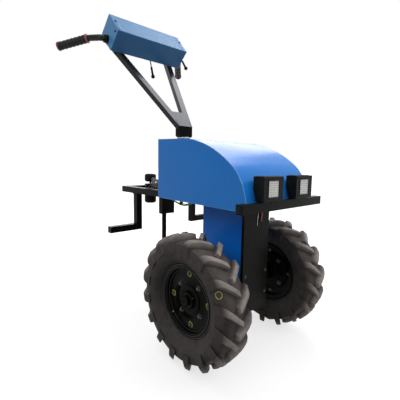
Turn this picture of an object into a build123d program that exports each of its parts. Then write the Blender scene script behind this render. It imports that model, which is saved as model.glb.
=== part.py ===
from build123d import *
import math
import os

# Battery power weeder: two lugged drive wheels under a level tube frame, a gear
# case and drive housing between them, a sheet hood over the battery, a rear stake
# to stand on, and a swivelling handlebar with a control box.
# Millimetres. +X is the machine's left, -Y its front, +Z up.
# The origin is on the ground, midway between the tyres.

# Fits shared by all the pieces
SEAT_GAP = 0.3
RUNNING_CLEARANCE = 0.05
CUT_OVERRUN = 5.0

# Level tube frame
FRAME_TOP = 541.0
FRAME_TUBE = 25.0
RAIL_REAR = 549.0
RAIL_END_ROUND = 5.0
CROSS_FRONT = -80.0
CROSS_CENTRE = 97.0
CROSS_POST = 309.0
CROSS_MIDDLE = 400.0

# Bumper tube across the front
BUMPER_DEPTH = 25.0
BUMPER_HEIGHT = 28.0
BUMPER_TOP = 536.0
BUMPER_FRONT = -188.0
BUMPER_LEFT_REACH = 63.0
BUMPER_RIGHT_REACH = 35.0
BUMPER_END_ROUND = 3.0

# Battery tray and the battery on it
TRAY_THICKNESS = 3.0
TRAY_REAR = 240.0
BATTERY_LENGTH = 270.0
BATTERY_SIDE_GAP = 25.0
BATTERY_HEIGHT = 128.0
BATTERY_CENTRE = 90.0

# Hood of sheet metal
HOOD_HALF = 172.0
HOOD_REAR = 248.0
HOOD_FRONT = -172.0
HOOD_TOP = 732.0
HOOD_SHEET = 2.0
HOOD_REAR_SKIRT = 19.0
HOOD_FRONT_SKIRT = 27.0
HOOD_RAIL_GAP = 12.5
# Hood's side outline over the bumper: (share of length from the front, share of height)
HOOD_FLAT_SHARES = (0.743, 0.985)
HOOD_UPPER_ARC_SHARES = (0.425, 0.888)
HOOD_KNEE_SHARES = (0.177, 0.615)
HOOD_LOWER_ARC_SHARES = (0.052, 0.335)

# Lamps on the bumper
LAMP_INSET = 87.0
LAMP_WIDTH = 96.0
LAMP_HEIGHT = 72.0
LAMP_DEPTH = 38.0
LAMP_FRONT = -203.5
LAMP_BACK_SLOPE = 12.0
LAMP_BACK_SLOPE_HEIGHT = 36.0
LAMP_FOOT = 4.0
LAMP_FOOT_WIDTH = 40.0
LAMP_FOOT_DEPTH = 10.0
LAMP_PANEL_WIDTH = 51.0
LAMP_PANEL_HEIGHT = 48.0
LAMP_RECESS = 3.0
LAMP_PANEL_THICKNESS = 2.0

# Front post plate, drive housing and gear case
POST_HALF = 68.0
POST_FRONT = -84.5
POST_PLATE = 10.0
POST_BOTTOM = 140.0
HOUSING_HALF = 64.0
HOUSING_REAR = 114.0
HOUSING_BOTTOM = 262.0
GEAR_CASE_HALF = 72.0
GEAR_CASE_REAR = 98.0
GEAR_CASE_BOTTOM = 150.0
GEAR_CASE_ROUND = 14.0
CASE_FLANGE = 8.0
CASE_FLANGE_REACH = 6.0

# Axles
AXLE_RADIUS = 15.0
AXLE_TUBE_RADIUS = 28.0
AXLE_TUBE_END = 134.0
AXLE_COLLAR_RADIUS = 38.0
AXLE_COLLAR = 12.0

# Wheels: carcass half widths and radii from the crown to the bead, then the rim and hub
WHEEL_SIDES = 32
WHEEL_TRACK = 436.0
TYRE_RADIUS = 215.0
TYRE_HALF_WIDTH = 56.0
CROWN_HALF_WIDTH = 20.0
CROWN_RADIUS = 194.0
SHOULDER_HALF_WIDTH = 48.5
SHOULDER_RADIUS = 183.0
BULGE_HALF_WIDTH = 53.0
BULGE_RADIUS = 157.0
FLANK_HALF_WIDTH = 42.0
FLANK_RADIUS = 132.0
BEAD_HALF_WIDTH = 22.0
RIM_BARREL_RADIUS = 102.0
RIM_THICKNESS = 4.0
RIM_FLANGE_RADIUS = 117.0
RIM_DISC_OUT = 6.0
RIM_DISC_IN = -2.0
RIM_BORE = 32.0
HUB_SIDES = 16
HUB_FLANGE_RADIUS = 76.0
HUB_FLANGE = 8.0
HUB_RADIUS = 28.0
HUB_INBOARD = 66.0
HUB_OUTBOARD = 22.0
AXLE_END_OUT = 30.0

# Chevron lugs of each tyre
LUGS_PER_SIDE = 16
LUG_SWEEP = 13.0
LUG_WIDTH = 30.0
# Lug section shares: half width of the tyre, top and root of its radius, top and root of the lug width
LUG_SHARES = (
    (-0.09, 1.0, 0.847, 0.53, 0.77),
    (0.62, 0.990, 0.847, 0.60, 0.86),
    (0.90, 0.945, 0.800, 0.74, 0.98),
    (1.0, 0.855, 0.735, 0.84, 1.06),
)

# Side brackets under the rails
BRACKET_TUBE = 25.0
BRACKET_SHIFT = 7.0
BRACKET_Y = 424.0
BRACKET_BOTTOM = 365.0
BRACKET_FOOT = 131.0
BRACKET_GUSSET_LENGTH = 45.0
BRACKET_GUSSET_DROP = 40.0
BRACKET_GUSSET_SHEET = 5.0
BRACKET_GUSSET_SHARES = ((0.0, 0.0), (1.0, 0.0), (0.16, 0.32), (0.0, 1.0))

# Rear stake, its sleeve and its foot
SLEEVE_HALF = 34.0
SLEEVE_DEPTH = 25.0
SLEEVE_BOTTOM = 418.0
STAKE_RADIUS = 10.0
STAKE_X = -14.0
STAKE_TOP = 590.0
STAKE_FOOT_RADIUS = 30.0
STAKE_FOOT_HEIGHT = 6.0

# Hitch sleeve, knob and latch lever behind the hood
HITCH_Y = 556.0
HITCH_RADIUS = 28.0
HITCH_BOTTOM = 454.0
HITCH_TOP = 545.0
HITCH_CHAMFER = 6.0
KNOB_SIDES = 16
KNOB_RADIUS = 27.5
KNOB_TOP = 592.0
KNOB_HEIGHT = 37.0
KNOB_CHAMFER = 6.0
KNOB_NECK_RADIUS = 5.0
LATCH_X = -10.0
LATCH_SHEET = 6.0
LATCH_FRONT = 462.0
LATCH_HEIGHT = 35.0
LATCH_STRIP_HALF = 30.0
LATCH_STRIP = 5.0
# Latch outline shares: of its length from the front, of its height
LATCH_SHARES = ((0.0, 0.0), (0.94, 0.0), (1.0, 0.86), (0.9, 1.0), (0.5, 0.84), (0.0, 0.70))

# Handlebar post and stem
PIPE_SIDES = 16
PIPE_RADIUS = 25.0
SPIGOT_RADIUS = 20.0
SPIGOT_LENGTH = 58.0
PIPE_BASE_HALF = 34.0
PIPE_BASE = 6.0
STEM_FLANGE_RADIUS = 27.0
STEM_FLANGE = 4.0
STEM_BOTTOM = 752.0
STEM_FRONT = 295.0
STEM_DEPTH = 24.0
STEM_HALF = 35.0
STEM_SHOULDER = 796.0
STEM_CHAMFER = 6.0

# Handlebar arms, in the sloping plane of their top faces
ARM_SLOPE = 48.3
ARM_FOOT_OFFSET = 35.4
ARM_HEAD_OFFSET = 171.0
ARM_LENGTH = 532.0
ARM_WIDTH = 29.5
ARM_THICKNESS = 21.0
GUSSET_END = 86.0
GUSSET_PLATE = 5.0

# Control box of sheet metal on the ends of the arms
BOX_ARM_LAP = 98.6
BOX_DEPTH = 117.0
BOX_HEIGHT = 96.0
BOX_HALF = 184.0
BOX_SHEET = 2.0
BOX_END_PLATE = 3.0
BOX_CORNER = 2.0

# Handle tubes and grips; places are out from the box end, along and above its front edge
HANDLE_TUBE_RADIUS = 13.0
HANDLE_ROOT_IN = 44.0
HANDLE_ALONG = 57.0
HANDLE_BEND_OUT = 28.0
HANDLE_BEND_RADIUS = 20.0
HANDLE_COLLAR_RADIUS = 18.0
HANDLE_COLLAR = 16.0
GRIP_START = (68.0, 97.0, -30.0)
GRIP_END = (147.0, 138.6, -117.3)
GRIP_LEAD = 14.0
GRIP_SIDES = 10
HANDLE_BEND_STEPS = 5
GRIP_RADIUS = 16.0
GRIP_RIB_RADIUS = 17.6
GRIP_RIBS = 7
GRIP_RIB_SHARE = 0.55
GRIP_CAP = 4.0
GRIP_RING_RADIUS = 19.0
GRIP_RING = 9.0

# Control levers: places are across, along and above the box's front edge
LEVER_ROD_RADIUS = 2.5
LEVER_GRIP_RADIUS = 5.0
LEVER_BALL_RADIUS = 9.0
LEVER_SIDES = 8
LEVER_BALL_STEPS = 5
CENTRE_LEVER_X = 30.0
CENTRE_LEVER_TIP = (-55.8, -40.5)
CENTRE_LEVER_ROOT = (45.0, 7.0)
END_LEVER_OUT = 10.0
END_LEVER_TIP = (-40.4, 35.4)
END_LEVER_ROOT = (57.9, 45.3)
END_LEVER_BOSS_RADIUS = 8.0

# Places worked out from the sizes above
FRAME_BOTTOM = FRAME_TOP - FRAME_TUBE
RAIL_OFFSET = HOOD_HALF - HOOD_SHEET - HOOD_RAIL_GAP - FRAME_TUBE / 2
RAIL_INNER = RAIL_OFFSET - FRAME_TUBE / 2
RAIL_OUTER = RAIL_OFFSET + FRAME_TUBE / 2
BRACKET_OFFSET = RAIL_OFFSET + BRACKET_SHIFT
BRACKET_REACH = BRACKET_OFFSET + BRACKET_FOOT
LAMP_OFFSET = HOOD_HALF - LAMP_INSET
BUMPER_LEFT_END = HOOD_HALF + BUMPER_LEFT_REACH
BUMPER_RIGHT_END = HOOD_HALF + BUMPER_RIGHT_REACH
BUMPER_REAR = BUMPER_FRONT + BUMPER_DEPTH
BUMPER_BOTTOM = BUMPER_TOP - BUMPER_HEIGHT
BATTERY_HALF = HOOD_HALF - HOOD_SHEET - BATTERY_SIDE_GAP
SLEEVE_FRONT = CROSS_MIDDLE + FRAME_TUBE / 2
SLEEVE_REAR = SLEEVE_FRONT + SLEEVE_DEPTH
STAKE_Y = (SLEEVE_FRONT + SLEEVE_REAR) / 2
KNOB_BOTTOM = KNOB_TOP - KNOB_HEIGHT
BOX_START = ARM_LENGTH - BOX_ARM_LAP
HANDLE_ABOVE = BOX_SHEET + HANDLE_TUBE_RADIUS + SEAT_GAP
POST_REAR = POST_FRONT + POST_PLATE
WHEEL_OFFSET = WHEEL_TRACK / 2
WHEEL_PLANE = Plane(origin=(0, 0, 0), x_dir=(0, 1, 0), z_dir=(1, 0, 0))
STEM_FLANGE_BOTTOM = STEM_BOTTOM - STEM_FLANGE
PIPE_TOP = STEM_FLANGE_BOTTOM - SEAT_GAP
HANDLE_PLANE = Plane(
    origin=(0, STEM_FRONT, STEM_SHOULDER),
    x_dir=(1, 0, 0),
    z_dir=(0, -math.sin(math.radians(ARM_SLOPE)), math.cos(math.radians(ARM_SLOPE))),
)


def block(x, y, z):
    """Box between a low and a high value on each axis."""
    size = [high - low for low, high in (x, y, z)]
    centre = [(low + high) / 2 for low, high in (x, y, z)]
    return Pos(*centre) * Box(*size)


def rod(start, end, radius):
    """Round bar from one point to another."""
    run = Vector(*end) - Vector(*start)
    foot = Plane(origin=start, z_dir=run)
    return foot * Cylinder(radius, run.length, align=(Align.CENTER, Align.CENTER, Align.MIN))


def upright(x, y, low, high, radius):
    """Round bar standing on Z."""
    return rod((x, y, low), (x, y, high), radius)


def lengthwise(x, y, z, radius):
    """Round bar along X between two places."""
    return rod((x[0], y, z), (x[1], y, z), radius)


def plate(plane, points, thickness):
    """Flat plate drawn on a plane and grown along its normal."""
    return extrude(plane * make_face(Polyline(*points, close=True)), amount=thickness)


def skin(rows, split=False):
    """Solid between like sections: its walls are flat quads, or triangles where split."""
    walls = []
    for row, following in zip(rows, rows[1:]):
        for index, corner in enumerate(row):
            after = (index + 1) % len(row)
            quad = [corner, row[after], following[after], following[index]]
            loops = [quad[:3], [quad[0], quad[2], quad[3]]] if split else [quad]
            walls += [Face(Wire.make_polygon(loop)) for loop in loops]
    ends = [Face(Wire.make_polygon(row)) for row in (rows[0], rows[-1])]
    return Solid(Shell(walls + ends))


def drum(place, stations, sides):
    """Many-sided turned shape along a plane's normal, from its (height, radius) stations."""
    rows = []
    for height, radius in stations:
        rows.append(
            [
                place.from_local_coords(
                    (
                        radius * math.cos(math.tau * number / sides),
                        radius * math.sin(math.tau * number / sides),
                        height,
                    )
                )
                for number in range(sides)
            ]
        )
    return skin(rows)


def bar(start, end, radius, sides):
    """Many-sided bar from one point to another."""
    run = Vector(*end) - Vector(*start)
    return drum(Plane(origin=start, z_dir=run), ((0, radius), (run.length, radius)), sides)


def both_sides(name, left):
    """The left piece and its mirror image, as two named pieces."""
    return {f"{name}_left": left, f"{name}_right": mirror(left, about=Plane.YZ)}


def frame_pieces():
    """Rails, cross rails, bumper, battery tray and the battery itself."""
    rail = block((RAIL_INNER, RAIL_OUTER), (BUMPER_REAR, RAIL_REAR), (FRAME_BOTTOM, FRAME_TOP))
    rail = fillet(rail.faces().sort_by(Axis.Y)[-1].edges(), RAIL_END_ROUND)
    pieces = both_sides("side_rail", rail)
    places = {
        "cross_rail_front": CROSS_FRONT,
        "cross_rail_centre": CROSS_CENTRE,
        "cross_rail_post": CROSS_POST,
        "cross_rail_middle": CROSS_MIDDLE,
        "cross_rail_rear": RAIL_REAR - RAIL_END_ROUND - FRAME_TUBE / 2,
    }
    for name, place in places.items():
        pieces[name] = block(
            (-RAIL_INNER, RAIL_INNER),
            (place - FRAME_TUBE / 2, place + FRAME_TUBE / 2),
            (FRAME_BOTTOM, FRAME_TOP),
        )
    bumper = block(
        (-BUMPER_RIGHT_END, BUMPER_LEFT_END),
        (BUMPER_FRONT, BUMPER_REAR),
        (BUMPER_BOTTOM, BUMPER_TOP),
    )
    ends = bumper.faces().sort_by(Axis.X)
    pieces["bumper"] = fillet(ends[0].edges() + ends[-1].edges(), BUMPER_END_ROUND)
    pieces["battery_tray"] = block(
        (-RAIL_OUTER, RAIL_OUTER), (BUMPER_REAR, TRAY_REAR), (FRAME_TOP, FRAME_TOP + TRAY_THICKNESS)
    )
    pieces["battery_pack"] = block(
        (-BATTERY_HALF, BATTERY_HALF),
        (BATTERY_CENTRE - BATTERY_LENGTH / 2, BATTERY_CENTRE + BATTERY_LENGTH / 2),
        (FRAME_TOP + TRAY_THICKNESS, FRAME_TOP + TRAY_THICKNESS + BATTERY_HEIGHT),
    )
    return pieces


def hood_place(shares):
    """Point of the hood's side outline from its shares of length and height."""
    along, up = shares
    return (
        HOOD_FRONT + along * (HOOD_REAR - HOOD_FRONT),
        BUMPER_TOP + up * (HOOD_TOP - BUMPER_TOP),
    )


def hood_pieces():
    """Bent top sheet, two flat sides and the back of the hood."""
    nose = (HOOD_FRONT, BUMPER_TOP)
    front_foot = (HOOD_FRONT, BUMPER_TOP - HOOD_FRONT_SKIRT)
    rear_foot = (HOOD_REAR, BUMPER_TOP - HOOD_REAR_SKIRT)
    upper_arc, knee, lower_arc = (
        hood_place(shares)
        for shares in (HOOD_UPPER_ARC_SHARES, HOOD_KNEE_SHARES, HOOD_LOWER_ARC_SHARES)
    )
    flat = hood_place(HOOD_FLAT_SHARES)
    outline = make_face(
        [
            Line(rear_foot, (HOOD_REAR, HOOD_TOP)),
            Line((HOOD_REAR, HOOD_TOP), flat),
            ThreePointArc(flat, upper_arc, knee),
            ThreePointArc(knee, lower_arc, nose),
            Line(nose, front_foot),
            Line(front_foot, rear_foot),
        ]
    )
    inner = offset(outline, -HOOD_SHEET, kind=Kind.INTERSECTION)
    across = Plane(origin=(-HOOD_HALF, 0, 0), x_dir=(0, 1, 0), z_dir=(1, 0, 0))
    lowest = BUMPER_TOP - HOOD_FRONT_SKIRT - HOOD_REAR_SKIRT
    wide = (-HOOD_HALF - CUT_OVERRUN, HOOD_HALF + CUT_OVERRUN)
    below_nose = block(wide, (HOOD_FRONT - CUT_OVERRUN, HOOD_REAR + CUT_OVERRUN), (lowest, BUMPER_TOP))
    rear_strip = block(
        wide, (HOOD_REAR - HOOD_SHEET, HOOD_REAR + CUT_OVERRUN), (lowest, HOOD_TOP - HOOD_SHEET)
    )
    wrap = extrude(across * (outline - inner), amount=2 * HOOD_HALF) - below_nose - rear_strip
    bumper_room = block(
        wide, (HOOD_FRONT - CUT_OVERRUN, BUMPER_REAR + SEAT_GAP), (lowest, BUMPER_TOP)
    )
    side_plane = Plane(origin=(HOOD_HALF - HOOD_SHEET, 0, 0), x_dir=(0, 1, 0), z_dir=(1, 0, 0))
    side = extrude(side_plane * outline, amount=HOOD_SHEET) - bumper_room - wrap
    pieces = {"hood_wrap": wrap}
    pieces.update(both_sides("hood_side", side))
    between_sides = HOOD_HALF - HOOD_SHEET
    back = block(
        (-between_sides, between_sides),
        (HOOD_REAR - HOOD_SHEET, HOOD_REAR),
        (rear_foot[1], HOOD_TOP - HOOD_SHEET),
    )
    pieces["hood_back"] = back - block(
        (-RAIL_OUTER - SEAT_GAP, RAIL_OUTER + SEAT_GAP),
        (HOOD_REAR - HOOD_SHEET, HOOD_REAR),
        (rear_foot[1], FRAME_TOP + SEAT_GAP),
    )
    return pieces


def lamp_pieces():
    """Square work lamps with a sunk light panel, each on a foot on the bumper."""
    low = BUMPER_TOP + LAMP_FOOT
    high = low + LAMP_HEIGHT
    rear = LAMP_FRONT + LAMP_DEPTH
    x_span = (LAMP_OFFSET - LAMP_WIDTH / 2, LAMP_OFFSET + LAMP_WIDTH / 2)
    side = Plane(origin=(x_span[0], 0, 0), x_dir=(0, 1, 0), z_dir=(1, 0, 0))
    housing = plate(
        side,
        [
            (LAMP_FRONT, low),
            (rear - LAMP_BACK_SLOPE, low),
            (rear, low + LAMP_BACK_SLOPE_HEIGHT),
            (rear, high),
            (LAMP_FRONT, high),
        ],
        LAMP_WIDTH,
    )
    middle = (low + high) / 2
    panel_x = (LAMP_OFFSET - LAMP_PANEL_WIDTH / 2, LAMP_OFFSET + LAMP_PANEL_WIDTH / 2)
    panel_z = (middle - LAMP_PANEL_HEIGHT / 2, middle + LAMP_PANEL_HEIGHT / 2)
    housing -= block(panel_x, (LAMP_FRONT - CUT_OVERRUN, LAMP_FRONT + LAMP_RECESS), panel_z)
    foot_rear = rear - LAMP_BACK_SLOPE
    housing += block(
        (LAMP_OFFSET - LAMP_FOOT_WIDTH / 2, LAMP_OFFSET + LAMP_FOOT_WIDTH / 2),
        (foot_rear - LAMP_FOOT_DEPTH, foot_rear),
        (BUMPER_TOP, low),
    )
    back = LAMP_FRONT + LAMP_RECESS
    panel = block(panel_x, (back - LAMP_PANEL_THICKNESS, back), panel_z)
    pieces = both_sides("lamp_housing", housing)
    pieces.update(both_sides("lamp_panel", panel))
    return pieces


def drive_pieces():
    """Front post plate, drive housing, gear case and the tubes round the axles."""
    pieces = {
        "front_post": block(
            (-POST_HALF, POST_HALF), (POST_FRONT, POST_REAR), (POST_BOTTOM, FRAME_BOTTOM)
        ),
        "drive_housing": block(
            (-HOUSING_HALF, HOUSING_HALF), (POST_REAR, HOUSING_REAR), (HOUSING_BOTTOM, FRAME_BOTTOM)
        ),
    }
    case = block(
        (-GEAR_CASE_HALF, GEAR_CASE_HALF),
        (POST_REAR, GEAR_CASE_REAR),
        (GEAR_CASE_BOTTOM, HOUSING_BOTTOM),
    )
    case = fillet(case.faces().sort_by(Axis.Z)[0].edges().filter_by(Axis.X), GEAR_CASE_ROUND)
    case += block(
        (-GEAR_CASE_HALF - CASE_FLANGE_REACH, GEAR_CASE_HALF + CASE_FLANGE_REACH),
        (POST_REAR, GEAR_CASE_REAR + CASE_FLANGE_REACH),
        (HOUSING_BOTTOM - CASE_FLANGE, HOUSING_BOTTOM),
    )
    pieces["gear_case"] = case
    foot = Plane(origin=(0, 0, TYRE_RADIUS), x_dir=(0, 1, 0), z_dir=(1, 0, 0))
    collar_end = GEAR_CASE_HALF + AXLE_COLLAR
    tube = drum(foot, ((GEAR_CASE_HALF, AXLE_TUBE_RADIUS), (AXLE_TUBE_END, AXLE_TUBE_RADIUS)), HUB_SIDES)
    tube += drum(foot, ((GEAR_CASE_HALF, AXLE_COLLAR_RADIUS), (collar_end, AXLE_COLLAR_RADIUS)), HUB_SIDES)
    tube -= lengthwise(
        (GEAR_CASE_HALF, AXLE_TUBE_END), 0, TYRE_RADIUS, AXLE_RADIUS + RUNNING_CLEARANCE
    )
    pieces.update(both_sides("axle_tube", tube))
    return pieces


def lug(side, turn):
    """One bar of the tread: from past the centre line out and down the shoulder."""
    sections = []
    for width_share, top_share, root_share, top_width_share, root_width_share in LUG_SHARES:
        across = side * width_share * TYRE_HALF_WIDTH
        top = top_share * TYRE_RADIUS
        root = root_share * TYRE_RADIUS
        middle = math.radians(turn - LUG_SWEEP * width_share)
        corners = []
        for radius, width, hand in (
            (root, root_width_share * LUG_WIDTH, -1),
            (root, root_width_share * LUG_WIDTH, 1),
            (top, top_width_share * LUG_WIDTH, 1),
            (top, top_width_share * LUG_WIDTH, -1),
        ):
            angle = middle + hand * width / 2 / radius
            corners.append((across, -radius * math.sin(angle), radius * math.cos(angle)))
        sections.append(corners)
    return skin(sections, split=True)


def tyre():
    """Carcass with dished flanks and its two staggered rows of lugs, about the axle at the origin."""
    outer = [
        (BULGE_HALF_WIDTH, BULGE_RADIUS),
        (SHOULDER_HALF_WIDTH, SHOULDER_RADIUS),
        (CROWN_HALF_WIDTH, CROWN_RADIUS),
    ]
    body = drum(
        WHEEL_PLANE,
        [(-width, radius) for width, radius in outer] + outer[::-1],
        WHEEL_SIDES,
    )
    flank = [
        (BEAD_HALF_WIDTH, RIM_FLANGE_RADIUS),
        (FLANK_HALF_WIDTH, FLANK_RADIUS),
        (BULGE_HALF_WIDTH, BULGE_RADIUS),
    ]
    body -= drum(WHEEL_PLANE, flank, WHEEL_SIDES)
    body -= drum(WHEEL_PLANE, [(-width, radius) for width, radius in flank[::-1]], WHEEL_SIDES)
    body -= wheel_drum(RIM_BARREL_RADIUS, -TYRE_HALF_WIDTH, TYRE_HALF_WIDTH)
    pitch = 360 / LUGS_PER_SIDE
    bars = [lug(1, number * pitch) for number in range(LUGS_PER_SIDE)]
    bars += [lug(-1, (number + 1 / 2) * pitch) for number in range(LUGS_PER_SIDE)]
    return body.fuse(*bars)


def wheel_drum(radius, low, high, sides=WHEEL_SIDES):
    """Plain disc or ring blank of the wheel, about the axle at the origin."""
    return drum(WHEEL_PLANE, ((low, radius), (high, radius)), sides)


def wheel_pieces():
    """Tyre, split rim, and hub with its axle shaft of each wheel."""
    flange_out = BEAD_HALF_WIDTH + RIM_THICKNESS
    rim_inner = RIM_BARREL_RADIUS - RIM_THICKNESS
    rim = wheel_drum(RIM_BARREL_RADIUS, -BEAD_HALF_WIDTH, BEAD_HALF_WIDTH)
    rim += wheel_drum(RIM_FLANGE_RADIUS, BEAD_HALF_WIDTH, flange_out)
    rim += wheel_drum(RIM_FLANGE_RADIUS, -flange_out, -BEAD_HALF_WIDTH)
    rim -= wheel_drum(rim_inner, RIM_DISC_OUT, flange_out + CUT_OVERRUN)
    rim -= wheel_drum(rim_inner, -flange_out - CUT_OVERRUN, RIM_DISC_IN)
    rim -= wheel_drum(RIM_BORE, RIM_DISC_IN - CUT_OVERRUN, RIM_DISC_OUT + CUT_OVERRUN, HUB_SIDES)
    hub = wheel_drum(HUB_RADIUS, -HUB_INBOARD, HUB_OUTBOARD, HUB_SIDES)
    hub += wheel_drum(HUB_FLANGE_RADIUS, RIM_DISC_IN - HUB_FLANGE, RIM_DISC_IN, HUB_SIDES)
    inner_end = GEAR_CASE_HALF + AXLE_COLLAR - WHEEL_OFFSET
    hub += lengthwise((inner_end, 0), 0, 0, AXLE_RADIUS)
    hub += wheel_drum(AXLE_RADIUS, 0, AXLE_END_OUT, HUB_SIDES)
    place = Pos(WHEEL_OFFSET, 0, TYRE_RADIUS)
    pieces = {}
    for name, shape in (("tyre", tyre()), ("rim", rim), ("hub", hub)):
        pieces.update(both_sides(name, place * shape))
    return pieces


def rear_pieces():
    """Side brackets, stake with its sleeve, hitch sleeve, knob and latch lever."""
    half = BRACKET_TUBE / 2
    y_span = (BRACKET_Y - half, BRACKET_Y + half)
    leg_x = (BRACKET_OFFSET - half, BRACKET_OFFSET + half)
    bracket = block(leg_x, y_span, (BRACKET_BOTTOM, FRAME_BOTTOM))
    bracket += block(
        (leg_x[1], BRACKET_REACH), y_span, (BRACKET_BOTTOM, BRACKET_BOTTOM + BRACKET_TUBE)
    )
    gusset_plane = Plane(
        origin=(RAIL_OFFSET - BRACKET_GUSSET_SHEET / 2, 0, 0), x_dir=(0, 1, 0), z_dir=(1, 0, 0)
    )
    gusset = [
        (y_span[1] + along * BRACKET_GUSSET_LENGTH, FRAME_BOTTOM - down * BRACKET_GUSSET_DROP)
        for along, down in BRACKET_GUSSET_SHARES
    ]
    bracket += plate(gusset_plane, gusset, BRACKET_GUSSET_SHEET)
    pieces = both_sides("side_bracket", bracket)

    sleeve = block((-SLEEVE_HALF, SLEEVE_HALF), (SLEEVE_FRONT, SLEEVE_REAR), (SLEEVE_BOTTOM, FRAME_TOP))
    bore = STAKE_RADIUS + RUNNING_CLEARANCE
    pieces["stake_sleeve"] = sleeve - upright(
        STAKE_X, STAKE_Y, SLEEVE_BOTTOM - CUT_OVERRUN, FRAME_TOP + CUT_OVERRUN, bore
    )
    pieces["stake_rod"] = upright(STAKE_X, STAKE_Y, 0, STAKE_TOP, STAKE_RADIUS)
    pieces["stake_rod"] += bar(
        (STAKE_X, STAKE_Y, 0), (STAKE_X, STAKE_Y, STAKE_FOOT_HEIGHT), STAKE_FOOT_RADIUS, KNOB_SIDES
    )

    rail_rear = RAIL_REAR - RAIL_END_ROUND
    hitch = drum(
        Plane(origin=(0, HITCH_Y, HITCH_BOTTOM)),
        (
            (0, HITCH_RADIUS - HITCH_CHAMFER),
            (HITCH_CHAMFER, HITCH_RADIUS),
            (HITCH_TOP - HITCH_BOTTOM, HITCH_RADIUS),
        ),
        KNOB_SIDES,
    )
    pieces["hitch_sleeve"] = hitch - block(
        (-RAIL_INNER, RAIL_INNER), (rail_rear - FRAME_TUBE, rail_rear), (FRAME_BOTTOM, HITCH_TOP)
    )
    knob_foot = Plane(origin=(0, HITCH_Y, KNOB_BOTTOM))
    waist = KNOB_RADIUS - KNOB_CHAMFER
    knob = drum(
        knob_foot,
        (
            (0, waist),
            (KNOB_CHAMFER, KNOB_RADIUS),
            (KNOB_HEIGHT - KNOB_CHAMFER, KNOB_RADIUS),
            (KNOB_HEIGHT, waist),
        ),
        KNOB_SIDES,
    )
    neck = bar((0, HITCH_Y, HITCH_TOP), (0, HITCH_Y, KNOB_BOTTOM), KNOB_NECK_RADIUS, LEVER_SIDES)
    pieces["rear_knob"] = knob + neck

    strip = block(
        (-LATCH_STRIP_HALF, LATCH_STRIP_HALF),
        (SLEEVE_REAR, rail_rear - FRAME_TUBE),
        (FRAME_TOP - LATCH_STRIP, FRAME_TOP),
    )
    side = Plane(origin=(LATCH_X - LATCH_SHEET / 2, 0, 0), x_dir=(0, 1, 0), z_dir=(1, 0, 0))
    latch_length = HITCH_Y - KNOB_RADIUS - LATCH_FRONT
    latch = [
        (LATCH_FRONT + along * latch_length, FRAME_TOP + up * LATCH_HEIGHT) for along, up in LATCH_SHARES
    ]
    pieces["rear_lever"] = strip + plate(side, latch, LATCH_SHEET)
    return pieces


def box_place(across, along, above):
    """Point given from the middle of the control box's lower front edge, in the sloping plane."""
    return HANDLE_PLANE.from_local_coords((across, BOX_START + along, above))


def post_pieces():
    """Pipe that stands on the frame behind the hood and carries the handlebar."""
    bottom = FRAME_TOP + PIPE_BASE
    pipe = bar((0, CROSS_POST, bottom), (0, CROSS_POST, PIPE_TOP), PIPE_RADIUS, PIPE_SIDES)
    pipe -= upright(
        0,
        CROSS_POST,
        STEM_FLANGE_BOTTOM - SPIGOT_LENGTH - CUT_OVERRUN,
        PIPE_TOP + CUT_OVERRUN,
        SPIGOT_RADIUS + RUNNING_CLEARANCE,
    )
    pipe += block(
        (-PIPE_BASE_HALF, PIPE_BASE_HALF),
        (CROSS_POST - PIPE_BASE_HALF, CROSS_POST + PIPE_BASE_HALF),
        (FRAME_TOP, bottom),
    )
    return {"handle_post": pipe}


def arm_pieces():
    """Stem on its spigot, the two arms and the gusset between them."""
    rise = STEM_DEPTH * math.tan(math.radians(ARM_SLOPE))
    side = Plane(origin=(-STEM_HALF, 0, 0), x_dir=(0, 1, 0), z_dir=(1, 0, 0))
    head = plate(
        side,
        [
            (STEM_FRONT, STEM_BOTTOM),
            (STEM_FRONT, STEM_SHOULDER),
            (STEM_FRONT + STEM_DEPTH, STEM_SHOULDER + rise),
            (STEM_FRONT + STEM_DEPTH, STEM_BOTTOM),
        ],
        2 * STEM_HALF,
    )
    stem = chamfer(head.faces().sort_by(Axis.Z)[0].edges().filter_by(Axis.Y), STEM_CHAMFER)
    stem += bar(
        (0, CROSS_POST, STEM_FLANGE_BOTTOM), (0, CROSS_POST, STEM_BOTTOM), STEM_FLANGE_RADIUS, PIPE_SIDES
    )
    stem += upright(
        0, CROSS_POST, STEM_FLANGE_BOTTOM - SPIGOT_LENGTH, STEM_FLANGE_BOTTOM, SPIGOT_RADIUS
    )
    pieces = {"handle_stem": stem}

    foot_in = ARM_FOOT_OFFSET - ARM_WIDTH
    head_in = ARM_HEAD_OFFSET - ARM_WIDTH
    arm = plate(
        HANDLE_PLANE,
        [(foot_in, 0), (ARM_FOOT_OFFSET, 0), (ARM_HEAD_OFFSET, ARM_LENGTH), (head_in, ARM_LENGTH)],
        -ARM_THICKNESS,
    )
    pieces.update(both_sides("handle_arm", arm - head))
    spread = (head_in - foot_in) / ARM_LENGTH
    gusset = plate(
        HANDLE_PLANE,
        [
            (-foot_in, 0),
            (foot_in, 0),
            (foot_in + spread * GUSSET_END, GUSSET_END),
            (-foot_in - spread * GUSSET_END, GUSSET_END),
        ],
        -GUSSET_PLATE,
    )
    pieces["handle_gusset"] = gusset - head
    return pieces


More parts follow.
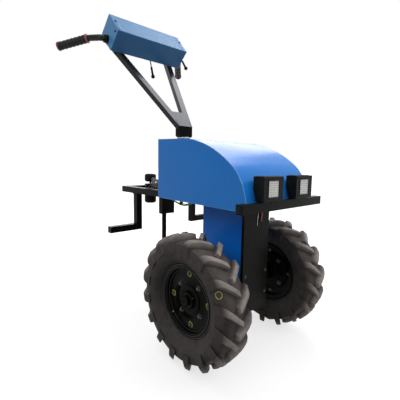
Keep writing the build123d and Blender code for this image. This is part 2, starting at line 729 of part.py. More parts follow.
def control_box_pieces():
    """Control box, a closed run of folded sheet, with an end plate on each side."""
    inner_half = BOX_HALF - BOX_END_PLATE
    middle = HANDLE_PLANE * Pos(0, BOX_START + BOX_DEPTH / 2, BOX_HEIGHT / 2)
    body = middle * Box(2 * inner_half, BOX_DEPTH, BOX_HEIGHT)
    body = chamfer(body.edges().filter_by(Axis.X), BOX_CORNER)
    hollow = Box(2 * BOX_HALF, BOX_DEPTH - 2 * BOX_SHEET, BOX_HEIGHT - 2 * BOX_SHEET)
    pieces = {"control_box": body - middle * hollow}
    end = middle * Pos(BOX_HALF - BOX_END_PLATE / 2, 0, 0) * Box(BOX_END_PLATE, BOX_DEPTH, BOX_HEIGHT)
    end = chamfer(end.edges().filter_by(Axis.X), BOX_CORNER)
    tube_hole = bar(
        box_place(inner_half - CUT_OVERRUN, HANDLE_ALONG, HANDLE_ABOVE),
        box_place(BOX_HALF + CUT_OVERRUN, HANDLE_ALONG, HANDLE_ABOVE),
        HANDLE_TUBE_RADIUS + SEAT_GAP,
        PIPE_SIDES,
    )
    pieces.update(both_sides("box_end", end - tube_hole))
    return pieces


def handle_line(corners):
    """Points and directions along a run whose corners are rounded."""
    route = FilletPolyline(*corners, radius=HANDLE_BEND_RADIUS)
    edges = route.edges()
    places = [(route @ 0, route % 0)]
    for edge in edges:
        shares = [1] if edge.geom_type == GeomType.LINE else [
            step / HANDLE_BEND_STEPS for step in range(1, HANDLE_BEND_STEPS + 1)
        ]
        places += [(edge @ share, edge % share) for share in shares]
    return places


def section(place, tangent, radius, sides):
    """Many-sided section of a tube, square to its run and level with the machine."""
    inward = tangent.cross(Vector(0, 0, 1)).normalized()
    upward = inward.cross(tangent).normalized()
    return [
        place
        + inward * (radius * math.cos(math.tau * number / sides))
        + upward * (radius * math.sin(math.tau * number / sides))
        for number in range(sides)
    ]


def handle_pieces():
    """Bent handle tubes with their collars, ribbed grips and coloured rings."""
    start = box_place(BOX_HALF + GRIP_START[0], *GRIP_START[1:])
    end = box_place(BOX_HALF + GRIP_END[0], *GRIP_END[1:])
    run = (end - start).normalized()
    places = handle_line(
        [
            box_place(BOX_HALF - HANDLE_ROOT_IN, HANDLE_ALONG, HANDLE_ABOVE),
            box_place(BOX_HALF + HANDLE_BEND_OUT, HANDLE_ALONG, HANDLE_ABOVE),
            start - run * GRIP_LEAD,
            end - run * GRIP_CAP,
        ]
    )
    rows = [section(place, tangent, HANDLE_TUBE_RADIUS, GRIP_SIDES) for place, tangent in places]
    tube = skin(rows, split=True) + bar(
        box_place(BOX_HALF, HANDLE_ALONG, HANDLE_ABOVE),
        box_place(BOX_HALF + HANDLE_COLLAR, HANDLE_ALONG, HANDLE_ABOVE),
        HANDLE_COLLAR_RADIUS,
        PIPE_SIDES,
    )
    pieces = both_sides("handle_tube", tube)
    foot = Plane(origin=start, x_dir=run.cross(Vector(0, 0, 1)), z_dir=run)
    length = (end - start).length
    pieces.update(both_sides("grip", grip(foot, length)))
    pieces.update(both_sides("grip_rings", grip_rings(foot, length)))
    return pieces


def grip(foot, length):
    """Ribbed rubber sleeve, closed at its end, over the end of the handle tube."""
    pitch = length / GRIP_RIBS
    rib = pitch * GRIP_RIB_SHARE
    sleeve = drum(foot, ((0, GRIP_RADIUS), (length, GRIP_RADIUS)), GRIP_SIDES)
    for number in range(GRIP_RIBS):
        place = (number + 1 / 2) * pitch - rib / 2
        sleeve += drum(foot, ((place, GRIP_RIB_RADIUS), (place + rib, GRIP_RIB_RADIUS)), GRIP_SIDES)
    return sleeve - drum(
        foot, ((-CUT_OVERRUN, HANDLE_TUBE_RADIUS), (length - GRIP_CAP, HANDLE_TUBE_RADIUS)), GRIP_SIDES
    )


def grip_rings(foot, length):
    """Coloured rings at both ends of a grip."""
    rings = []
    for place in (-GRIP_RING, length):
        ring = drum(
            foot, ((place, GRIP_RING_RADIUS), (place + GRIP_RING, GRIP_RING_RADIUS)), KNOB_SIDES
        )
        rings.append(ring)
    rings[0] -= drum(
        foot,
        ((-GRIP_RING - CUT_OVERRUN, HANDLE_TUBE_RADIUS), (CUT_OVERRUN, HANDLE_TUBE_RADIUS)),
        GRIP_SIDES,
    )
    return Compound([ring.solid() for ring in rings])


def control_lever(root, tip):
    """Thin rod with a thicker lower half and a ball on its end."""
    middle = (root + tip) / 2
    shape = bar(root, tip, LEVER_ROD_RADIUS, LEVER_SIDES)
    shape += bar(middle, tip, LEVER_GRIP_RADIUS, LEVER_SIDES)
    ball_foot = Plane(origin=tip, z_dir=tip - root)
    turns = [math.pi * step / LEVER_BALL_STEPS for step in range(1, LEVER_BALL_STEPS)]
    stations = [(-LEVER_BALL_RADIUS * math.cos(a), LEVER_BALL_RADIUS * math.sin(a)) for a in turns]
    return shape + drum(ball_foot, stations, LEVER_SIDES)


def lever_pieces():
    """The two small control levers, one under the box and one at its left end."""
    middle = HANDLE_PLANE * Pos(0, BOX_START + BOX_DEPTH / 2, BOX_HEIGHT / 2)
    centre = control_lever(
        box_place(CENTRE_LEVER_X, *CENTRE_LEVER_ROOT), box_place(CENTRE_LEVER_X, *CENTRE_LEVER_TIP)
    )
    end_x = BOX_HALF + END_LEVER_OUT
    end_root = box_place(end_x, *END_LEVER_ROOT)
    end = control_lever(end_root, box_place(end_x, *END_LEVER_TIP))
    end += bar(
        box_place(BOX_HALF, *END_LEVER_ROOT),
        box_place(end_x + LEVER_ROD_RADIUS, *END_LEVER_ROOT),
        END_LEVER_BOSS_RADIUS,
        LEVER_SIDES,
    )
    return {
        "control_lever_centre": centre - middle * Box(2 * BOX_HALF, BOX_DEPTH, BOX_HEIGHT),
        "control_lever_end": end,
    }


def main():
    """Builds every piece and writes one file for each."""
    os.makedirs("parts", exist_ok=True)
    pieces = {}
    for group in (
        frame_pieces,
        hood_pieces,
        lamp_pieces,
        drive_pieces,
        wheel_pieces,
        rear_pieces,
        post_pieces,
        arm_pieces,
        control_box_pieces,
        handle_pieces,
        lever_pieces,
    ):
        pieces.update(group())
    for name, shape in pieces.items():
        export_step(shape, f"parts/{name}.step")


main()
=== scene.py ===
"""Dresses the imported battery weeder: finishes, tyre rubber, fasteners, lamps, lights and camera.

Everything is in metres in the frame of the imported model: +X is the machine's left, -Y its front
and +Z up, with the origin on the ground midway between the tyres. Outlines of turned forms are
pairs of a height along the axis and a radius.
"""

from __future__ import annotations

import logging
import math
from dataclasses import dataclass
from enum import Enum
from functools import cache
from typing import Any, ClassVar, Sequence

import bmesh
import bpy
from mathutils import Matrix, Vector

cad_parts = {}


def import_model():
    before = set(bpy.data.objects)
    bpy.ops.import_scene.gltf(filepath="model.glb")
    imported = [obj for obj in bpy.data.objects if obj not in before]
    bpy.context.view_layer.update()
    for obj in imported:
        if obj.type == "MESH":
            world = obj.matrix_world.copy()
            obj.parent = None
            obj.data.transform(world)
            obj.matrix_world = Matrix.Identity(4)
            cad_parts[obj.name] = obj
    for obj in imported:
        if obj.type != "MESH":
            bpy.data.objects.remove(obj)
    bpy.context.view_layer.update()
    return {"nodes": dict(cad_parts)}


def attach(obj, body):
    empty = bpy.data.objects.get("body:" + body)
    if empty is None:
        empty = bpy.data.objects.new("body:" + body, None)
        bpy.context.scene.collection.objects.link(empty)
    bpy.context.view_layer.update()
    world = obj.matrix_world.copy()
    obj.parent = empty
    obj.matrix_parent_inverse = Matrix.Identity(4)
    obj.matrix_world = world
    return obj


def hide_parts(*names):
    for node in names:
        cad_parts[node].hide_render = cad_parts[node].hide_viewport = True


LOG = logging.getLogger("weeder")

Point = Sequence[float]
Outline = Sequence[tuple[float, float]]
WHITE = (1.0, 1.0, 1.0)
UP, DOWN, FRONT, BACK = (Vector(way) for way in ((0, 0, 1), (0, 0, -1), (0, -1, 0), (0, 1, 0)))
HANDS = (1, -1)


class Body(Enum):
    """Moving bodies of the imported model."""

    CHASSIS = "chassis"
    WHEEL_LEFT = "wheel_left"
    WHEEL_RIGHT = "wheel_right"
    HANDLEBAR = "handlebar"
    STAKE = "stake"


class Side(Enum):
    """Left and right of the machine, as the sign of X."""

    LEFT = 1
    RIGHT = -1

    @property
    def word(self) -> str:
        """Ending of the node names on this side."""
        return self.name.lower()

    @property
    def out(self) -> Vector:
        """Direction away from the machine's middle."""
        return Vector((self.value, 0, 0))


class Tree:
    """Nodes of a material or of the world.

    Args:
        tree: Node tree that is added to.
    """

    def __init__(self, tree: bpy.types.NodeTree) -> None:
        self.tree = tree

    def feed(self, node: bpy.types.Node, inputs: dict[str | int, Any]) -> None:
        """Sets or links a node's inputs.

        Args:
            node: The node.
            inputs: Value or source socket of each input.
        """
        for name, value in inputs.items():
            if isinstance(value, bpy.types.NodeSocket):
                self.tree.links.new(value, node.inputs[name])
            else:
                node.inputs[name].default_value = value

    def add(self, kind: str, inputs: dict[str | int, Any], **settings: str) -> bpy.types.Node:
        """Adds a node.

        Args:
            kind: Its type, without "ShaderNode".
            inputs: Value or source socket of each input.
            settings: Settings that are made before the inputs.

        Returns:
            The node.
        """
        node = self.tree.nodes.new("ShaderNode" + kind)
        for name, value in settings.items():
            setattr(node, name, value)
        self.feed(node, inputs)
        return node

    def spread(
        self, value: bpy.types.NodeSocket, low: float, high: float, to_low: float = 0.0,
        to_high: float = 1.0, **settings: str,
    ) -> bpy.types.NodeSocket:
        """Maps a value from low and high to another range."""
        ends = {"From Min": low, "From Max": high, "To Min": to_low, "To Max": to_high}
        return self.add("MapRange", {"Value": value, **ends}, **settings).outputs["Result"]

    def vector(self, operation: str, inputs: dict[str | int, Any], result: str = "Vector"):
        """Adds a step of vector arithmetic and returns its result."""
        return self.add("VectorMath", inputs, operation=operation).outputs[result]

    def times(self, first: bpy.types.NodeSocket, second: bpy.types.NodeSocket):
        """Multiplies two values."""
        return self.add("Math", {0: first, 1: second}, operation="MULTIPLY").outputs["Value"]

    def mix(self, share: bpy.types.NodeSocket, first: Any, second: Any) -> bpy.types.NodeSocket:
        """Mixes two colours by the share of the second."""
        inputs = {"Factor": share, "A": first, "B": second}
        return self.add("Mix", inputs, data_type="RGBA").outputs["Result"]

    def noise(self, place: bpy.types.NodeSocket, scale: float, detail: float):
        """Adds noise, with its scale in cycles per metre."""
        inputs = {"Vector": place, "Scale": scale, "Detail": detail}
        return self.add("TexNoise", inputs).outputs["Fac"]

    def seen(self) -> bpy.types.NodeSocket:
        """Returns 1 for what the camera sees, also through glass and in gloss, and 0 for light."""
        path = self.add("LightPath", {})
        seen = path.outputs["Is Camera Ray"]
        for ray in ("Is Transmission Ray", "Is Glossy Ray"):
            inputs = {0: seen, 1: path.outputs[ray]}
            seen = self.add("Math", inputs, operation="MAXIMUM").outputs["Value"]
        return seen


@dataclass(frozen=True)
class Finish:
    """Look of one material.

    Args:
        name: Name of the material.
        colour: Linear base colour.
        dark: Linear colour that the grain mixes in.
        grain: Scale of the colour variation, in cycles per metre.
        grain_share: Share of the dark colour at most, from 0 to 1.
        rough: Lowest and highest roughness.
        bump: Height of the fine bump in metres.
        bump_scale: Scale of the fine bump, in cycles per metre.
        specular: Specular level.
        coat: Weight of the clear coat.
        coat_rough: Roughness of the clear coat.
        metal: Metallic value.
        dust: Share of pale dust on faces that look up, from 0 to 1.
    """

    name: str
    colour: Point
    dark: Point
    grain: float
    grain_share: float
    rough: tuple[float, float]
    bump: float = 0.0
    bump_scale: float = 400.0
    specular: float = 0.5
    coat: float = 0.0
    coat_rough: float = 0.1
    metal: float = 0.0
    dust: float = 0.0

    DUST = (0.26, 0.235, 0.22, 1.0)
    DUST_NOISE = (38.0, 8.0)

    @cache
    def material(self) -> bpy.types.Material:
        """Makes the material on first use.

        Returns:
            The material.
        """
        material = bpy.data.materials.new(self.name)
        material.use_nodes = True
        tree = Tree(material.node_tree)
        place = tree.add("TexCoord", {}).outputs["Object"]
        share = tree.spread(tree.noise(place, self.grain, 6.0), 0.35, 0.7, 0.0, self.grain_share)
        colour = tree.mix(share, (*self.colour, 1.0), (*self.dark, 1.0))
        colour = self._wear_and_painted_shade(tree, place, colour)
        if self.dust:
            colour = self._dusted(tree, place, colour)
        inputs = {
            "Metallic": self.metal, "Coat Weight": self.coat, "Coat Roughness": self.coat_rough,
            "Specular IOR Level": self.specular, "Base Color": colour,
            "Roughness": tree.spread(tree.noise(place, self.grain * 2.7, 4.0), 0.3, 0.7, *self.rough),
        }
        if self.bump:
            height = tree.noise(place, self.bump_scale, 3.0)
            bump = tree.add("Bump", {"Distance": self.bump, "Strength": 0.6, "Height": height})
            inputs["Normal"] = bump.outputs["Normal"]
        tree.feed(material.node_tree.nodes["Principled BSDF"], inputs)
        return material

    def paint(self, piece: bpy.types.Object) -> None:
        """Gives every material slot of a piece this finish.

        Args:
            piece: Object to paint.
        """
        if not piece.material_slots:
            piece.data.materials.append(self.material())
        for slot in piece.material_slots:
            slot.material = self.material()

    def _wear_and_painted_shade(
        self, tree: Tree, place: bpy.types.NodeSocket, colour: bpy.types.NodeSocket
    ) -> bpy.types.NodeSocket:
        """Returns the colour as it is; finishes that wear pale or carry painted shade change it."""
        return colour

    def _dusted(
        self, tree: Tree, place: bpy.types.NodeSocket, colour: bpy.types.NodeSocket
    ) -> bpy.types.NodeSocket:
        """Lays pale dust over the colour on faces that look up, broken by noise."""
        normal = tree.add("NewGeometry", {}).outputs["Normal"]
        rise = tree.add("SeparateXYZ", {"Vector": normal}).outputs["Z"]
        up = tree.spread(rise, -0.2, 1.0, 0.0, self.dust)
        return tree.mix(tree.times(up, tree.noise(place, *self.DUST_NOISE)), colour, self.DUST)


@dataclass(frozen=True)
class TreadFinish(Finish):
    """Rubber whose lugs are rubbed pale towards their tops, with painted shade darkening it near the
    bead, where the tyre meets the rim.

    Args:
        axle_height: Height of the wheel's axle in metres.
        low: Distance from the axle where the pale dust begins.
        high: Distance from the axle where it is full.
        pale: Linear colour of the rubbed rubber.
        share: Share of the pale colour at most.
        bead: Distances from the axle between which the painted shade at the bead fades.
        bead_shade: Share of the colour left at the bead under the painted shade.
    """

    axle_height: float = 0.215
    low: float = 0.190
    high: float = 0.214
    pale: Point = (0.330, 0.290, 0.270)
    share: float = 0.85
    bead: tuple[float, float] = (0.118, 0.152)
    bead_shade: float = 0.42

    def _wear_and_painted_shade(
        self, tree: Tree, place: bpy.types.NodeSocket, colour: bpy.types.NodeSocket
    ) -> bpy.types.NodeSocket:
        """Mixes in the pale colour by the distance from the axle, broken by noise, and darkens the
        colour near the bead as painted shade.
        """
        about = tree.vector("SUBTRACT", {0: place, 1: (0.0, 0.0, self.axle_height)})
        flat = tree.vector("MULTIPLY", {0: about, 1: (0.0, 1.0, 1.0)})
        far = tree.vector("LENGTH", {0: flat}, "Value")
        amount = tree.spread(far, self.low, self.high, 0.0, self.share)
        patch = tree.spread(tree.noise(place, 31.0, 7.0), 0.25, 0.6, 0.45)
        rubbed = tree.mix(tree.times(amount, patch), colour, (*self.pale, 1.0))
        # Painted shade: darker towards the bead, where the tyre meets the rim
        shade = tree.spread(far, *self.bead, self.bead_shade)
        return tree.vector("SCALE", {0: rubbed, "Scale": shade})


HOOD_BLUE = Finish(
    "hood_blue", (0.009, 0.172, 0.560), (0.006, 0.145, 0.490), 6.0, 0.5, (0.26, 0.34), 0.00004,
    260.0, 0.08, 0.22, 0.22,
)
HOUSING_BLUE = Finish(
    "housing_blue", (0.006, 0.160, 0.680), (0.004, 0.135, 0.600), 7.0, 0.5, (0.32, 0.42), 0.00008,
    260.0, 0.12, 0.05, 0.25,
)
BOX_BLUE = Finish(
    "box_blue", (0.050, 0.165, 0.330), (0.042, 0.142, 0.295), 9.0, 0.5, (0.34, 0.40), 0.00001,
    200.0, 0.12, 0.05, 0.22,
)
# Painted light: a lighter copy of the box's blue for its end plates, standing in for the brighter
# light that falls on the ends
BOX_BLUE_PAINTED_LIT_END = Finish(
    "box_blue_painted_lit_end", (0.066, 0.236, 0.472), (0.056, 0.205, 0.420), 9.0, 0.5, (0.34, 0.40), 0.00001,
    200.0, 0.12, 0.05, 0.22,
)
FRAME_BLACK = Finish(
    "frame_black", (0.0030, 0.0038, 0.0026), (0.0065, 0.0070, 0.0055), 45.0, 0.6, (0.26, 0.40),
    0.00012, 220.0, 0.05, dust=0.008,
)
ARM_BLACK = Finish(
    "arm_black", (0.004, 0.005, 0.005), (0.009, 0.009, 0.0095), 50.0, 0.5, (0.22, 0.30), 0.00004,
    240.0, 0.10, 0.22, 0.14,
)
CASE_BLACK = Finish(
    "case_black", (0.005, 0.006, 0.005), (0.011, 0.011, 0.010), 90.0, 0.7, (0.4, 0.55), 0.0005,
    180.0, 0.10, dust=0.05,
)
RUBBER = TreadFinish(
    "tyre_rubber", (0.0345, 0.0290, 0.0270), (0.0160, 0.0138, 0.0128), 26.0, 0.8, (0.55, 0.72),
    0.0005, 190.0, 0.15, dust=0.30,
)
RIM_BLACK = Finish(
    "rim_black", (0.0022, 0.0023, 0.0018), (0.0055, 0.0052, 0.0045), 60.0, 0.6, (0.18, 0.30),
    0.00012, 200.0, 0.04,
)
GLOSS_BLACK = Finish(
    "gloss_black", (0.006, 0.0062, 0.0070), (0.012, 0.012, 0.013), 60.0, 0.6, (0.14, 0.22),
    0.00003, 200.0, 0.15, 0.3, 0.08,
)
OLIVE = Finish(
    "olive", (0.060, 0.060, 0.022), (0.030, 0.030, 0.016), 120.0, 0.7, (0.3, 0.45), 0.0001, 240.0,
    0.25,
)
STEM_BLACK = Finish(
    "stem_black", (0.0030, 0.0034, 0.0030), (0.0060, 0.0060, 0.0054), 60.0, 0.6, (0.22, 0.34),
    0.00006, 240.0, 0.04,
)
HUB_BLACK = Finish(
    "hub_black", (0.0030, 0.0032, 0.0026), (0.0060, 0.0058, 0.0050), 70.0, 0.6, (0.22, 0.34),
    0.00010, 240.0, 0.03,
)
PLASTIC_BLACK = Finish(
    "plastic_black", (0.0055, 0.0065, 0.0062), (0.003, 0.003, 0.003), 80.0, 0.5, (0.40, 0.52),
    0.00015, 900.0, 0.08,
)
GRIP_BLACK = Finish(
    "grip_black", (0.008, 0.008, 0.0085), (0.014, 0.013, 0.013), 90.0, 0.6, (0.5, 0.65), 0.0002,
    700.0, 0.18,
)
RING_RED = Finish(
    "ring_red", (0.220, 0.024, 0.034), (0.150, 0.018, 0.025), 60.0, 0.5, (0.32, 0.42)
)
LENS_PALE = Finish(
    "lens_pale", (0.42, 0.43, 0.44), (0.33, 0.34, 0.35), 300.0, 0.5, (0.2, 0.3), coat=0.4
)
DIODE_PALE = Finish(
    "diode_pale", (0.72, 0.72, 0.66), (0.60, 0.60, 0.50), 400.0, 0.4, (0.15, 0.25), coat=0.6
)
ZINC = Finish(
    "zinc", (0.55, 0.55, 0.53), (0.36, 0.35, 0.32), 250.0, 0.6, (0.28, 0.45), 0.0001, 1200.0,
    metal=1.0,
)
DARK_STEEL = Finish(
    "dark_steel", (0.060, 0.058, 0.054), (0.030, 0.029, 0.027), 180.0, 0.6, (0.32, 0.5), 0.0001,
    900.0, metal=0.7,
)
LATCH_GREY = Finish(
    "latch_grey", (0.115, 0.105, 0.130), (0.075, 0.068, 0.085), 80.0, 0.6, (0.35, 0.5), 0.0001,
    600.0, metal=0.3,
)
YELLOW = Finish(
    "mark_yellow", (0.34, 0.31, 0.06), (0.22, 0.20, 0.045), 200.0, 0.6, (0.5, 0.6)
)
# Painted highlight: a paler blue than the hood's own, for the seams and hems, standing in for light
# caught along the hood's edges
SEAM_BLUE_PAINTED_HIGHLIGHT = Finish(
    "seam_blue_painted_highlight", (0.120, 0.290, 0.560), (0.090, 0.230, 0.480), 30.0, 0.5, (0.22, 0.32), coat=0.5
)
WIRE_RED = Finish(
    "wire_red", (0.240, 0.020, 0.020), (0.150, 0.012, 0.012), 120.0, 0.5, (0.35, 0.45)
)
WIRE_GREEN = Finish(
    "wire_green", (0.050, 0.130, 0.035), (0.030, 0.085, 0.022), 120.0, 0.5, (0.35, 0.45)
)
WIRE_YELLOW = Finish(
    "wire_yellow", (0.330, 0.280, 0.060), (0.240, 0.200, 0.040), 120.0, 0.5, (0.35, 0.45)
)
BATTERY_GREY = Finish(
    "battery_grey", (0.05, 0.05, 0.055), (0.035, 0.035, 0.04), 60.0, 0.5, (0.5, 0.6), 0.0002, 800.0
)

# Finish of each CAD node, by the start of its name; the others are the frame's black. The box's end
# plates take a lighter copy of the box's blue, which is painted light.
NODE_FINISHES: tuple[tuple[str, Finish], ...] = (
    ("hood_", HOOD_BLUE), ("drive_housing", HOUSING_BLUE), ("control_box", BOX_BLUE),
    ("box_end", BOX_BLUE_PAINTED_LIT_END), ("tyre_", RUBBER), ("rim_", RIM_BLACK), ("hub_", RIM_BLACK),
    ("gear_case", CASE_BLACK), ("axle_tube", CASE_BLACK), ("lamp_housing", PLASTIC_BLACK),
    ("lamp_panel", LENS_PALE), ("rear_knob", PLASTIC_BLACK), ("rear_lever", LATCH_GREY),
    ("grip_rings", RING_RED), ("grip_", GRIP_BLACK), ("handle_stem", STEM_BLACK),
    ("handle_", ARM_BLACK), ("control_lever", PLASTIC_BLACK), ("battery_pack", BATTERY_GREY),
)

# Nodes whose sharp edges are broken, by the start of their names
SOFTENED: tuple[str, ...] = (
    "cross_rail", "bumper", "side_bracket", "front_post", "gear_case", "lamp_housing",
    "stake_sleeve", "rear_lever", "handle_arm", "handle_stem", "handle_gusset", "side_rail",
    "battery_pack",
)


class Form:
    """Mesh of one piece in the making. Each form that is added returns the whole again."""

    def __init__(self) -> None:
        self.mesh = bmesh.new()

    def row(self, points: Sequence[Vector]) -> list[bmesh.types.BMVert]:
        """Adds a row of vertices.

        Args:
            points: Their places.

        Returns:
            The vertices.
        """
        return [self.mesh.verts.new(point) for point in points]

    def skin(
        self, rows: Sequence[Sequence[bmesh.types.BMVert]], looped: bool = True,
        closed: bool = False,
    ) -> Form:
        """Joins rows of vertices with faces.

        Args:
            rows: The rows.
            looped: Whether the end of each row joins its start.
            closed: Whether the last row joins the first; if not, both are filled.

        Returns:
            This form.
        """
        for row, following in zip(rows, [*rows[1:], *(rows[:1] if closed else ())]):
            for index in range(len(row) if looped else len(row) - 1):
                after = (index + 1) % len(row)
                self.mesh.faces.new((row[index], row[after], following[after], following[index]))
        if not closed:
            self.mesh.faces.new(rows[0])
            self.mesh.faces.new(rows[-1])
        return self

    def turned(
        self, foot: Point, axis: Vector, profile: Outline, segments: int = 64,
        looped: bool = False,
    ) -> Form:
        """Adds a turned form.

        Args:
            foot: Point on the axis that heights count from.
            axis: Direction of the axis.
            profile: Height and radius of each point of the outline.
            segments: Steps round the axis.
            looped: Whether the outline closes on itself, as a ring's does.

        Returns:
            This form.
        """
        turn = axis.to_track_quat("Z", "Y").to_matrix()
        rings = []
        for angle in (math.tau * number / segments for number in range(segments)):
            spots = [Vector((r * math.cos(angle), r * math.sin(angle), h)) for h, r in profile]
            rings.append(self.row([Vector(foot) + turn @ spot for spot in spots]))
        self.skin(rings, looped, closed=True)
        if not looped:
            self.mesh.faces.new([ring[0] for ring in rings])
            self.mesh.faces.new([ring[-1] for ring in rings])
        return self

    def swept(self, points: Sequence[Vector], radii: Sequence[float] | float, sides: int) -> Form:
        """Adds a round bar along points.

        Args:
            points: Middle line.
            radii: One radius, or one for each point.
            sides: Steps round the bar.

        Returns:
            This form.
        """
        sizes = [radii] * len(points) if isinstance(radii, float) else radii
        turns = [math.tau * k / sides for k in range(sides)]
        rows = []
        across = UP.copy()
        for index, (point, radius) in enumerate(zip(points, sizes)):
            ahead = points[min(index + 1, len(points) - 1)] - points[max(index - 1, 0)]
            run = ahead.normalized()
            across = across - run * across.dot(run)
            if across.length < 0.05:
                across = run.orthogonal()
            across.normalize()
            other = run.cross(across)
            rows.append(self.row([
                point + across * (radius * math.cos(t)) + other * (radius * math.sin(t))
                for t in turns
            ]))
        return self.skin(rows)

    def block(
        self, low: Point, high: Point, edge: float = 0.0006, turn: Matrix | None = None
    ) -> Form:
        """Adds a block with softened edges.

        Args:
            low: Lowest corner.
            high: Highest corner.
            edge: Width of the softened edges.
            turn: Placing of the block in the frame of the model.

        Returns:
            This form.
        """
        size = [b - a for a, b in zip(low, high)]
        middle = Vector([(a + b) / 2 for a, b in zip(low, high)])
        place = Matrix.Translation(middle) @ Matrix.Diagonal((*size, 1.0))
        corners = bmesh.ops.create_cube(self.mesh, size=1.0, matrix=place)["verts"]
        edges = list(dict.fromkeys(e for v in corners for e in v.link_edges))
        soft = bmesh.ops.bevel(
            self.mesh, geom=corners + edges, offset=min(edge, 0.4 * min(size)), segments=2,
            affect="EDGES", profile=0.5,
        )
        if turn is not None:
            spots = dict.fromkeys(v for face in soft["faces"] for v in face.verts)
            bmesh.ops.transform(self.mesh, matrix=turn, verts=list(spots))
        return self

    def hexes(
        self, place: Point, axis: Vector, radius: float, height: float, washer: float = 1.4
    ) -> Form:
        """Adds one hex head on a washer.

        Args:
            place: Foot of the washer, on the surface.
            axis: Direction out of the surface.
            radius: Radius of the hex's corners.
            height: Height of the head.
            washer: Radius of the washer as a share of the hex's.

        Returns:
            This form.
        """
        lip = 0.0011
        wide = radius * washer
        self.turned(place, axis, ((-0.0003, wide), (lip * 0.7, wide), (lip, wide * 0.93)), 20)
        head = ((lip * 0.8, radius), (height * 0.86, radius), (height, radius * 0.84))
        return self.turned(place, axis, head, 6)

    def screw(self, place: Point, axis: Vector, radius: float) -> Form:
        """Adds one round screw head with a sunk middle."""
        shares = ((0.22, 1.0), (0.42, 0.8), (0.5, 0.45), (0.2, 0.38))
        head = [(-0.0003, radius)] + [(radius * h, radius * r) for h, r in shares]
        return self.turned(place, axis, head, 16)

    def bead(self, start: Point, end: Point, radius: float = 0.0026) -> Form:
        """Adds a weld bead with its ripples, from one point to another."""
        start, run = Vector(start), Vector(end) - Vector(start)
        count = max(6, int(run.length / 0.0013))
        steps = range(count + 1)
        sizes = [
            radius * (0.80 + 0.16 * abs(math.sin(k * 1.05)) + 0.08 * math.sin(k * 0.37 + start.x * 90))
            for k in steps
        ]
        sizes[0] = sizes[-1] = radius * 0.45
        return self.swept([start + run * (k / count) for k in steps], sizes, 8)

    def piece(
        self, name: str, body: Body, finish: Finish, smooth_deg: float = 35.0
    ) -> bpy.types.Object:
        """Turns the form into a painted piece that rides on a body. Its mesh is freed.

        Args:
            name: Name of the piece.
            body: Body that it moves with.
            finish: Its finish.
            smooth_deg: Edges sharper than this stay sharp.

        Returns:
            The new object.
        """
        data = bpy.data.meshes.new(name)
        bmesh.ops.recalc_face_normals(self.mesh, faces=self.mesh.faces)
        self.mesh.to_mesh(data)
        self.mesh.free()
        for polygon in data.polygons:
            polygon.use_smooth = True
        data.set_sharp_from_angle(angle=math.radians(smooth_deg))
        piece = bpy.data.objects.new(name, data)
        bpy.context.scene.collection.objects.link(piece)
        finish.paint(piece)
        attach(piece, body.value)
        return piece


def rounded(corners: Sequence[Vector], radius: float, steps: int) -> list[Vector]:
    """Middle line through corners that are rounded.

    Args:
        corners: Start, corners and end.
        radius: Radius of the roundings.
        steps: Points in each rounding.

    Returns:
        The points of the line.
    """
    line = [corners[0].copy()]
    for before, corner, after in zip(corners, corners[1:], corners[2:]):
        back, ahead = (before - corner).normalized(), (after - corner).normalized()
        half = back.angle(ahead) / 2
        reach = radius / math.tan(half)
        centre = corner + (back + ahead).normalized() * (radius / math.sin(half))
        first, last = corner + back * reach - centre, corner + ahead * reach - centre
        sweep = first.angle(last)
        for share in (k / steps for k in range(steps + 1)):
            spot = first * math.sin((1 - share) * sweep) + last * math.sin(share * sweep)
            line.append(centre + spot / math.sin(sweep))
    return line + [corners[-1].copy()]


def smooth_line(corners: Sequence[Vector], steps: int = 6) -> list[Vector]:
    """Curved line through points.

    Args:
        corners: Points that it goes through.
        steps: Points for each stretch.

    Returns:
        The points of the line.
    """
    line = []
    last = len(corners) - 1
    for index in range(last):
        a, b = corners[max(index - 1, 0)], corners[index]
        c, d = corners[index + 1], corners[min(index + 2, last)]
        for t in (k / steps for k in range(steps)):
            bend = (2 * a - 5 * b + 4 * c - d) * t**2 + (3 * b - a - 3 * c + d) * t**3
            line.append(0.5 * (2 * b + (c - a) * t + bend))
    return line + [corners[-1].copy()]


